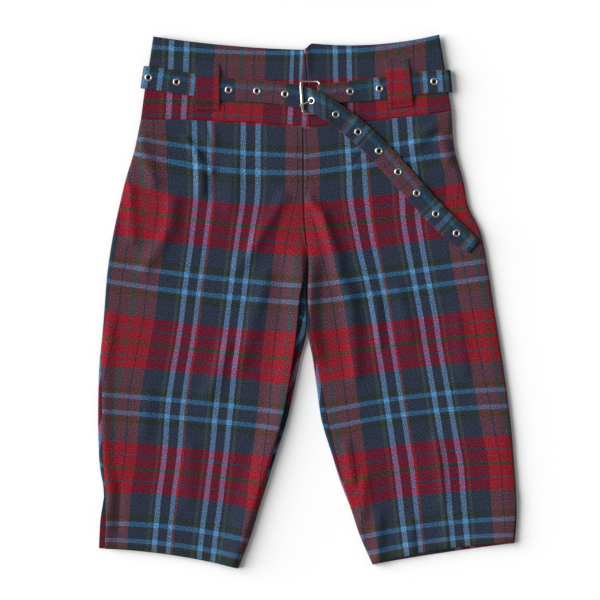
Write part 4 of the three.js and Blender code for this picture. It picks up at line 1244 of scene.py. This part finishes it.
def wire_points(curve, radius_at, steps, sides):
    """Rings of a round wire, each turned as little as can be from the one before."""
    points = []
    normal = None
    for step in range(steps + 1):
        parameter = curve.parameter(curve.length * step / steps)
        middle, direction = curve.at(parameter), curve.direction(parameter)
        if normal is None:
            normal = direction.orthogonal().normalized()
        normal = (normal - direction * normal.dot(direction)).normalized()
        beside = direction.cross(normal)
        radius = radius_at(step / steps)
        for side in range(sides):
            angle = 2 * math.pi * side / sides
            points.append(middle + normal * (radius * math.cos(angle)) + beside * (radius * math.sin(angle)))
    return points


def buckle_prong(eyelet_place, material):
    def radius_at(share):
        ends = min(share, 1 - share) * PRONG_STEPS
        return PRONG_RADIUS * math.sqrt(clamp(PRONG_BLUNT * (1 + ends), 0, 1))

    points = wire_points(prong_path(eyelet_place), radius_at, PRONG_STEPS, WIRE_SIDES)
    return new_piece("buckle_prong_fine", points, ring_faces(PRONG_STEPS + 1, WIRE_SIDES), None, material)


# Yarn colours as red, green and blue from 0 to 255, with how much of the cloth the yarn covers.
# Warp and weft have the same dyes, but the brushed weft is duller in its navy and clearer in its red.
WARP_YARN = {
    "red": (98, 44, 50, 0.5),
    "navy": (28, 37, 53, 0.5),
    "blue": (86, 128, 170, 0.5),
    # This greyer blue is the light-blue warp darkened: painted shade, used only on the belt's buckle end
    "shaded_blue": (60, 86, 108, 0.5),
    "olive": (46, 60, 54, 0.5),
    "green": (50, 64, 58, 0.5),
}
WEFT_YARN = {
    "red": (142, 18, 34, 0.51),
    "navy": (56, 59, 71, 0.5),
    "blue": (62, 118, 154, 0.5),
    "olive": (50, 57, 42, 0.5),
    "green": (58, 60, 34, 0.56),
}
BELT_WEFT_YARN = {**WEFT_YARN, "blue": (42, 90, 116, 0.5)}

# Where each stripe begins, in millimetres from the centre of a red band
WARP_REPEAT = 217.3
WARP = [(0, "green"), (2, "red"), (16.5, "navy"), (18.5, "red"), (32.5, "navy"), (58, "olive"),
        (62, "navy"), (66, "blue"), (72.5, "navy"), (85, "blue"), (91.5, "red"), (95, "navy"),
        (119.5, "olive"), (123.5, "navy"), (128, "blue"), (134.2, "navy"), (146.4, "blue"),
        (152.8, "navy"), (156.5, "olive"), (160.8, "navy"), (184.8, "red"), (198.8, "navy"),
        (200.8, "red"), (215.3, "green")]
# The belt's buckle end has its light-blue warp painted a greyer, darker blue: painted shade standing in for
# the shade on its free end
SHADED_BELT_WARP = [(start, "shaded_blue" if colour == "blue" else colour) for start, colour in WARP]
WEFT_REPEAT = 163.0
WEFT = [(0, "green"), (2, "red"), (16.5, "navy"), (18.5, "red"), (32.5, "navy"), (58, "olive"),
        (65, "navy"), (67.5, "blue"), (73.5, "navy"), (89.5, "blue"), (95.5, "navy"), (98, "olive"),
        (105, "navy"), (130.5, "red"), (144.5, "navy"), (146.5, "red"), (161, "green")]
TWILL = 1.5
SCREEN_GAMMA = 2.2

# Streaks to a millimetre, over the warp's stripes and over the weft's
ALONG_STREAKS = (1.2, 0.4)
ACROSS_STREAKS = (0.4, 1.2)
NAP_STREAKS = (0.8, 0.8)
# How far the ribs and the single yarns change which of the two yarns shows
RIB_SHARE = 0.36
YARN_SHARE = 0.7
# How uneven the yarns and the nap make the brightness, and what is taken off it
YARN_CONTRAST = 0.6
NAP_CONTRAST = 2.6
SHADE = 0.58
# How high the yarns stand beside the ribs, and how strong and deep both are, the depth in metres
YARN_HEIGHT = 0.8
WEAVE_STRENGTH = 0.35
WEAVE_DEPTH = 0.0003
WOOL_ROUGHNESS = 0.95
WOOL_SPECULAR = 0.1
WOOL_SHEEN = 0.03
SHEEN_ROUGHNESS = 0.5


class Nodes:
    """Short names for a material's nodes and links."""

    def __init__(self, material):
        self.tree = material.node_tree
        self.shader = self.tree.nodes["Principled BSDF"]

    def add(self, kind, **settings):
        node = self.tree.nodes.new(kind)
        for name, value in settings.items():
            setattr(node, name, value)
        return node

    def put(self, socket, value):
        if isinstance(value, bpy.types.NodeSocket):
            self.tree.links.new(value, socket)
        else:
            socket.default_value = value

    def math(self, operation, a, b=0.0, c=0.0):
        node = self.add("ShaderNodeMath", operation=operation)
        for socket, value in zip(node.inputs, (a, b, c)):
            self.put(socket, value)
        return node.outputs[0]

    def combine(self, x, y, z=0.0):
        node = self.add("ShaderNodeCombineXYZ")
        for socket, value in zip(node.inputs, (x, y, z)):
            self.put(socket, value)
        return node.outputs[0]

    def noise(self, vector, scale, detail=2.0):
        node = self.add("ShaderNodeTexNoise")
        self.put(node.inputs["Vector"], vector)
        node.inputs["Scale"].default_value = scale
        node.inputs["Detail"].default_value = detail
        return node.outputs["Fac"]

    def blend(self, factor, a, b, kind="MIX"):
        node = self.add("ShaderNodeMix", data_type="RGBA", blend_type=kind)
        self.put(node.inputs[0], factor)
        self.put(node.inputs[6], a)
        self.put(node.inputs[7], b)
        return node.outputs[2]

    def stripes(self, place, repeat, stops, yarns):
        ramp = self.add("ShaderNodeValToRGB")
        ramp.color_ramp.interpolation = "CONSTANT"
        elements = ramp.color_ramp.elements
        while len(elements) > 1:
            elements.remove(elements[-1])
        for index, (start, colour) in enumerate(stops):
            element = elements[0] if index == 0 else elements.new(start / repeat)
            element.position = start / repeat
            red, green, blue, cover = yarns[colour]
            element.color = (red / 255, green / 255, blue / 255, cover)
        self.put(ramp.inputs[0], self.math("FRACT", self.math("DIVIDE", place, repeat)))
        return ramp.outputs["Color"], ramp.outputs["Alpha"]


def new_material(name):
    material = bpy.data.materials.new(name)
    material.use_nodes = True
    return material, Nodes(material)


def streaks(nodes, places, rates):
    """Fine uneven lines of single yarns."""
    closer = [nodes.math("MULTIPLY", place, rate) for place, rate in zip(places, rates)]
    return nodes.noise(nodes.combine(*closer), 1.0)


def tartan(name, warp_stripes, weft_yarns):
    """Brushed twill whose warp and weft yarns each carry their own row of stripes."""
    material, nodes = new_material(name)
    cloth = nodes.add("ShaderNodeUVMap", uv_map=CLOTH_MAP).outputs["UV"]
    split = nodes.add("ShaderNodeSeparateXYZ")
    nodes.put(split.inputs[0], cloth)
    places = split.outputs[0], split.outputs[1]
    warp, _ = nodes.stripes(places[0], WARP_REPEAT, warp_stripes, WARP_YARN)
    weft, cover = nodes.stripes(places[1], WEFT_REPEAT, WEFT, weft_yarns)
    diagonal = nodes.math("FRACT", nodes.math("DIVIDE", nodes.math("ADD", *places), TWILL))
    rib = nodes.math("PINGPONG", nodes.math("MULTIPLY", diagonal, 2.0), 1.0)
    along = streaks(nodes, places, ALONG_STREAKS)
    across = streaks(nodes, places, ACROSS_STREAKS)
    share = nodes.math("ADD", cover, nodes.math("MULTIPLY_ADD", rib, RIB_SHARE, -RIB_SHARE / 2))
    uneven = nodes.math("MULTIPLY", nodes.math("SUBTRACT", across, along), YARN_SHARE)
    yarn = nodes.blend(nodes.math("ADD", share, uneven), warp, weft)
    nap = streaks(nodes, places, NAP_STREAKS)
    both = nodes.math("ADD", along, across)
    yarns = nodes.math("MULTIPLY_ADD", both, YARN_CONTRAST, -YARN_CONTRAST / 2)
    bright = nodes.math("MULTIPLY_ADD", nap, NAP_CONTRAST, nodes.math("SUBTRACT", yarns, SHADE))
    worn = nodes.blend(1.0, yarn, nodes.combine(bright, bright, bright), "MULTIPLY")
    gamma = nodes.add("ShaderNodeGamma")
    gamma.inputs["Gamma"].default_value = SCREEN_GAMMA
    nodes.put(gamma.inputs["Color"], worn)
    nodes.put(nodes.shader.inputs["Base Color"], gamma.outputs[0])
    nodes.shader.inputs["Roughness"].default_value = WOOL_ROUGHNESS
    nodes.shader.inputs["Specular IOR Level"].default_value = WOOL_SPECULAR
    nodes.shader.inputs["Sheen Weight"].default_value = WOOL_SHEEN
    nodes.shader.inputs["Sheen Roughness"].default_value = SHEEN_ROUGHNESS
    bump = nodes.add("ShaderNodeBump")
    bump.inputs["Strength"].default_value = WEAVE_STRENGTH
    bump.inputs["Distance"].default_value = WEAVE_DEPTH
    nodes.put(bump.inputs["Height"], nodes.math("ADD", rib, nodes.math("MULTIPLY", along, YARN_HEIGHT)))
    nodes.put(nodes.shader.inputs["Normal"], bump.outputs[0])
    return material


NICKEL = (0.52, 0.5, 0.47)
NICKEL_ROUGHNESS = 0.3
SEAM_THREAD = (0.035, 0.012, 0.02)
HEM_THREAD = (0.24, 0.035, 0.028)


def plated_metal(name, colour, roughness):
    material, nodes = new_material(name)
    nodes.shader.inputs["Base Color"].default_value = (*colour, 1)
    nodes.shader.inputs["Metallic"].default_value = 1.0
    nodes.shader.inputs["Roughness"].default_value = roughness
    return material


# The thread's fibres: how fine they are, and how bright the darkest is and how much that varies
FIBRE_SCALE = 2400
FIBRE_DARKEST = 0.6
FIBRE_CONTRAST = 0.8
THREAD_ROUGHNESS = 0.8


def thread(name, colour):
    """Spun sewing thread, with its twist."""
    material, nodes = new_material(name)
    place = nodes.add("ShaderNodeTexCoord").outputs["Object"]
    twist = nodes.noise(place, FIBRE_SCALE, 1.0)
    bright = nodes.math("MULTIPLY_ADD", twist, FIBRE_CONTRAST, FIBRE_DARKEST)
    shade = nodes.blend(1.0, (*colour, 1), nodes.combine(bright, bright, bright), "MULTIPLY")
    nodes.put(nodes.shader.inputs["Base Color"], shade)
    nodes.shader.inputs["Roughness"].default_value = THREAD_ROUGHNESS
    return material


STITCH_LENGTH = 2.5
STITCH_PITCH = 3.4
STITCH_RADIUS = 0.34
STITCH_STEPS = 4
STITCH_SIDES = 6
# A stitch is thin where it enters the cloth, at these shares of a half turn
STITCH_ENDS = (0.12, 0.88)
LOOP_MARGIN = 2.6
WAIST_MARGIN = 6
ROW_LINE_STEPS = 40
# Shares of a panel's width between which its row of stitches runs
HEM_ROW = (0.02, 0.985)
WAIST_ROW = (0.02, 0.995)
ABOVE_ALL = 60


def surface_of(piece):
    """Gives the point of a piece's upper surface at a place seen from above."""
    mesh = piece.data
    corners = [vertex.co / MM for vertex in mesh.vertices]
    tree = BVHTree.FromPolygons(corners, [tuple(polygon.vertices) for polygon in mesh.polygons])
    return lambda x, y: tree.ray_cast(Vector((x, y, ABOVE_ALL)), Vector((0, 0, -1)))[0]


def add_stitch(points, faces, begin, to):
    """One stitch, thin at its ends and half sunk in the cloth."""
    direction = (to - begin).normalized()
    beside = direction.cross(Vector((0, 0, 1))).normalized()
    above = beside.cross(direction)
    first = len(points)
    for step in range(STITCH_STEPS + 1):
        share = step / STITCH_STEPS
        radius = STITCH_RADIUS * math.sin(math.pi * mix(*STITCH_ENDS, share))
        middle = begin.lerp(to, share)
        for side in range(STITCH_SIDES):
            angle = 2 * math.pi * side / STITCH_SIDES
            points.append(middle + (beside * math.cos(angle) + above * math.sin(angle)) * radius)
    faces += [tuple(first + index for index in face) for face in ring_faces(STITCH_STEPS + 1, STITCH_SIDES)]


def sew(name, on, lines, material):
    """Rows of stitches along lines seen from above, joined in one piece that lies on another."""
    drop = surface_of(on)
    points, faces = [], []
    for line in lines:
        spots = [Vector(spot) for spot in line]
        lengths = travels(spots)
        xs, ys = [spot.x for spot in spots], [spot.y for spot in spots]
        place = STITCH_PITCH - STITCH_LENGTH
        while place + STITCH_LENGTH < lengths[-1]:
            begin, to = (drop(np.interp(length, lengths, xs), np.interp(length, lengths, ys))
                         for length in (place, place + STITCH_LENGTH))
            if begin and to:
                add_stitch(points, faces, begin, to)
            place += STITCH_PITCH
    piece = new_piece(name, points, faces, None, material)


def row_line(row, begin, to):
    """Places seen from above along one row of a section table, between two shares of its width."""
    line = []
    for step in range(ROW_LINE_STEPS + 1):
        share = mix(begin, to, step / ROW_LINE_STEPS)
        rise = (row["sag"] + row.get("lift", 0)) * 4 * share * (1 - share)
        x, y = (mix(row[f"outer_{axis}"], row[f"inner_{axis}"], share) for axis in "xy")
        line.append((x, y + rise))
    return line


def sew_hem(side, rows, leg, material):
    bottom = rows[-1]["down"]
    row = read_row(rows, bottom - HEM_TURN)
    row["lift"] = FRONT_HEM_LIFT[side] * smooth(bottom - HEM_LIFT_REACH, bottom, row["down"])
    sew(f"hem_stitches_{side}", leg, [row_line(row, *HEM_ROW)], material)


def sew_waist(side, rows, band, material):
    row = read_row(rows, rows[-1]["down"] - WAIST_MARGIN)
    sew(f"waist_stitches_{side}", band, [row_line(row, *WAIST_ROW)], material)


def sew_loop(name, piece, ends, material):
    """Stitches down both edges of a loop and across its two ends."""
    top_x, top_y, bottom_x, bottom_y = ends
    half = LOOP_WIDTH / 2 - LOOP_MARGIN
    top, bottom = top_y - LOOP_MARGIN, bottom_y + LOOP_MARGIN
    lines = [[(top_x + side * half, top_y), (bottom_x + side * half, bottom_y)] for side in (-1, 1)]
    lines += [[(x - half, y), (x + half, y)] for x, y in ((top_x, top), (bottom_x, bottom))]
    sew(f"{name}_stitches", piece, lines, material)


# What a panel's cut has over its flat width, for the turn round the side, and over its length
CUT_TURN = 6
CUT_ENDS = 1


def cut_of(rows):
    """Width and length of a panel's flat cut, with its area, in metres."""
    widths = []
    for row in rows:
        flat = math.hypot(row["outer_x"] - row["inner_x"], row["outer_y"] - row["inner_y"])
        widths.append(flat + CUT_TURN)
    downs = [row["down"] for row in rows]
    area = sum((a + b) / 2 * (d - c) for a, b, c, d in zip(widths, widths[1:], downs, downs[1:]))
    width, length = max(widths), downs[-1] - downs[0] + CUT_ENDS
    return (width * MM, length * MM), area * MM * MM


def finish_cloth(piece, node, flat, area=None):
    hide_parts(node)


def add_legs(material, hem_thread):
    for side, rows in LEGS.items():
        flat, area = cut_of(rows)
        for layer in ("front", "back"):
            piece = leg_panel(side, layer, material)
            finish_cloth(piece, f"leg_{layer}_{side}", flat, area)
            if layer == "front":
                sew_hem(side, rows, piece, hem_thread)


def add_bands(material, seam_thread):
    for side, rows in BANDS.items():
        flat, area = cut_of(rows)
        piece = front_band(side, material)
        finish_cloth(piece, f"waistband_front_{side}", flat, area)
        sew_waist(side, rows, piece, seam_thread)
    left, left_area = cut_of(LEFT_BAND)
    right, right_area = cut_of(RIGHT_BAND)
    flat = (left[0] + right[0], left[1])
    finish_cloth(back_band(material), "waistband_back", flat, left_area + right_area)


# Each front loop's ends (top x and y, bottom x and y), the belt's edges under it, and where warp
# and weft begin on it
FRONT_LOOPS = {
    "left": ((LEFT_LOOP_X, 308.8, LEFT_LOOP_X, 248.4), (295.4, 260.6), (-89.6, 258.0)),
    "right": ((115.0, 314.6, 121.6, 252.1), (297.2, 263.0), (126.8, 268.4)),
}
BACK_LOOP_ZERO = (20.0, 268.0)
LOOP_ROUNDING = 0.4
LOOP_STEP = 1.5


def add_loop(node, strip, zero, material):
    zero_x, zero_y = zero

    def cloth_at(p, *_):
        return p.x - zero_x, zero_y - p.y

    name = node.replace("belt_", "") + "_fine"
    piece = strip_piece(name, strip, strip.thick * LOOP_ROUNDING, LOOP_STEP, cloth_at, material)
    finish_cloth(piece, node, (strip.width_at(None) * MM, strip.curve.length * MM))
    return piece


def add_loops(material, seam_thread):
    for side, (ends, belt_edges, zero) in FRONT_LOOPS.items():
        node = f"belt_loop_front_{side}"
        piece = add_loop(node, loop_strip(ends, belt_edges), zero, material)
        sew_loop(node, piece, ends, seam_thread)
    add_loop("belt_loop_back", back_loop_strip(), BACK_LOOP_ZERO, material)


# Where eyelets lie, and how many the buckle end has on either side of the one the prong is in
PRONG_EYELET = (6.1, 261.8)
EYELETS_LEFT = 3
EYELETS_RIGHT = 7
HINGE_EYELETS = [(55.4, 272.6), (93.7, 276.5)]
BACK_EYELETS = [(-206, 291), (-169.6, 285), (164.7, 286)]

PRONG_SLOT_HALF = 1.8
PRONG_SLOT_X = (8, HINGE_BAR_X + 1)
PRONG_SLOT_Z = (BUCKLE_Z - 5, BUCKLE_Z + 3.2)

BELT_ROUNDING = 0.85
BELT_STEP = 1.6
# The share of a belt length's outline that is cloth, without its holes and narrowing
BELT_CLOTH_SHARE = 0.94


def prong_slot():
    """Corners of the slot in the belt's fold, where the prong is hinged on its bar."""
    (near, far), (low, high) = PRONG_SLOT_X, PRONG_SLOT_Z
    corners = []
    for y in (PRONG_Y - PRONG_SLOT_HALF, PRONG_Y + PRONG_SLOT_HALF):
        corners += [Vector((x, y, z)) for x, z in ((near, low), (far, low), (far, high), (near, high))]
    return corners


def add_belt_length(name, strip, cloth_at, distances, materials, slots=()):
    """One length of the belt, pierced, with its eyelets."""
    cloth, metal = materials
    piece = strip_piece(f"belt_{name}_fine", strip, BELT_ROUNDING, BELT_STEP, cloth_at, cloth)
    pierce(piece, strip, distances, slots)
    for index, distance in enumerate(distances, 1):
        eyelet = eyelet_piece(f"eyelet_{name}_{index}_fine", strip, distance, metal)
        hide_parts(f"eyelet_{name}_{index}")
    width, length = BELT_WIDTH * MM, strip.curve.length * MM
    area = BELT_CLOTH_SHARE * width * length
    finish_cloth(piece, f"belt_{name}", (width, length), area=area)


def add_belt(end_cloth, cloth, metal):
    """The belt's three lengths; gives the place of the eyelet that the prong is in."""
    materials = (cloth, metal)
    end, hinge, back = buckle_end(), hinge_end(), back_run()
    pronged = end.curve.distance_near(*PRONG_EYELET)
    distances = [pronged + index * EYELET_PITCH for index in range(-EYELETS_LEFT, EYELETS_RIGHT + 1)]
    # The buckle end takes the tartan whose light-blue warp is darkened as painted shade
    add_belt_length("buckle_end", end, buckle_end_cloth(end), distances, (end_cloth, metal))
    distances = [hinge.curve.distance_near(*place) for place in HINGE_EYELETS]
    add_belt_length("hinge_end", hinge, hinge_end_cloth(hinge), distances, materials, [prong_slot()])
    distances = [back.curve.distance_near(*place) for place in BACK_EYELETS]
    add_belt_length("back", back, back_run_cloth(back), distances, materials)
    return end.frame_at(pronged)


def add_buckle(eyelet_place, metal):
    for piece, node in ((buckle_frame(metal), "buckle_frame"), (buckle_roller(metal), "buckle_roller"),
                        (buckle_prong(eyelet_place, metal), "buckle_prong")):
        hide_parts(node)


# The photo's surroundings, in metres: a white floor a little under the garment, one soft light from
# the left and a camera straight above
GROUND_SIZE = 6
GROUND_Z = -0.0002
GROUND_WHITE = 0.91
LIGHT_PLACE = (-4.8, 0.9, 2.5)
LIGHT_SOFTNESS = 56
LIGHT_ENERGY = 5.7
WORLD_STRENGTH = 0.28
CAMERA_PLACE = (-0.00975, 0.00195, 4.0)
CAMERA_LENS = 184.6
CAMERA_SENSOR = 36


def add_ground():
    bpy.ops.mesh.primitive_plane_add(size=GROUND_SIZE, location=(0, 0, GROUND_Z))
    ground = bpy.context.object
    ground.name = "ground"
    material, nodes = new_material("plain_ground")
    nodes.shader.inputs["Base Color"].default_value = (GROUND_WHITE, GROUND_WHITE, GROUND_WHITE, 1)
    nodes.shader.inputs["Roughness"].default_value = 1.0
    nodes.shader.inputs["Specular IOR Level"].default_value = 0.0
    ground.data.materials.append(material)


def add_light():
    """A far soft light, as even over the whole floor as daylight."""
    light = bpy.data.lights.new("key", "SUN")
    light.energy = LIGHT_ENERGY
    light.angle = math.radians(LIGHT_SOFTNESS)
    lamp = bpy.data.objects.new("key", light)
    lamp.location = LIGHT_PLACE
    lamp.rotation_euler = (-Vector(LIGHT_PLACE)).to_track_quat("-Z", "Y").to_euler()
    bpy.context.collection.objects.link(lamp)


def add_camera():
    data = bpy.data.cameras.new("camera")
    data.lens = CAMERA_LENS
    data.sensor_width = CAMERA_SENSOR
    camera = bpy.data.objects.new("camera", data)
    camera.location = CAMERA_PLACE
    bpy.context.collection.objects.link(camera)
    bpy.context.scene.camera = camera


def set_world():
    scene = bpy.context.scene
    world = bpy.data.worlds.new("surroundings")
    scene.world = world
    world.use_nodes = True
    background = world.node_tree.nodes["Background"]
    background.inputs["Color"].default_value = (1, 1, 1, 1)
    background.inputs["Strength"].default_value = WORLD_STRENGTH
    scene.view_settings.view_transform = "Standard"
    scene.view_settings.look = "None"


def main():
    add_ground()
    tartan_cloth = tartan("tartan_twill", WARP, WEFT_YARN)
    # The buckle end's tartan has its light-blue warp darkened: painted shade
    shaded_belt_end_cloth = tartan("belt_end_shaded_tartan_twill", SHADED_BELT_WARP, BELT_WEFT_YARN)
    belt_cloth = tartan("belt_tartan_twill", WARP, BELT_WEFT_YARN)
    metal = plated_metal("plated_metal", NICKEL, NICKEL_ROUGHNESS)
    seam_thread = thread("seam_thread", SEAM_THREAD)
    add_legs(tartan_cloth, thread("hem_thread", HEM_THREAD))
    add_bands(tartan_cloth, seam_thread)
    add_loops(tartan_cloth, seam_thread)
    eyelet_place = add_belt(shaded_belt_end_cloth, belt_cloth, metal)
    add_buckle(eyelet_place, metal)
    add_light()
    set_world()
    add_camera()


main()
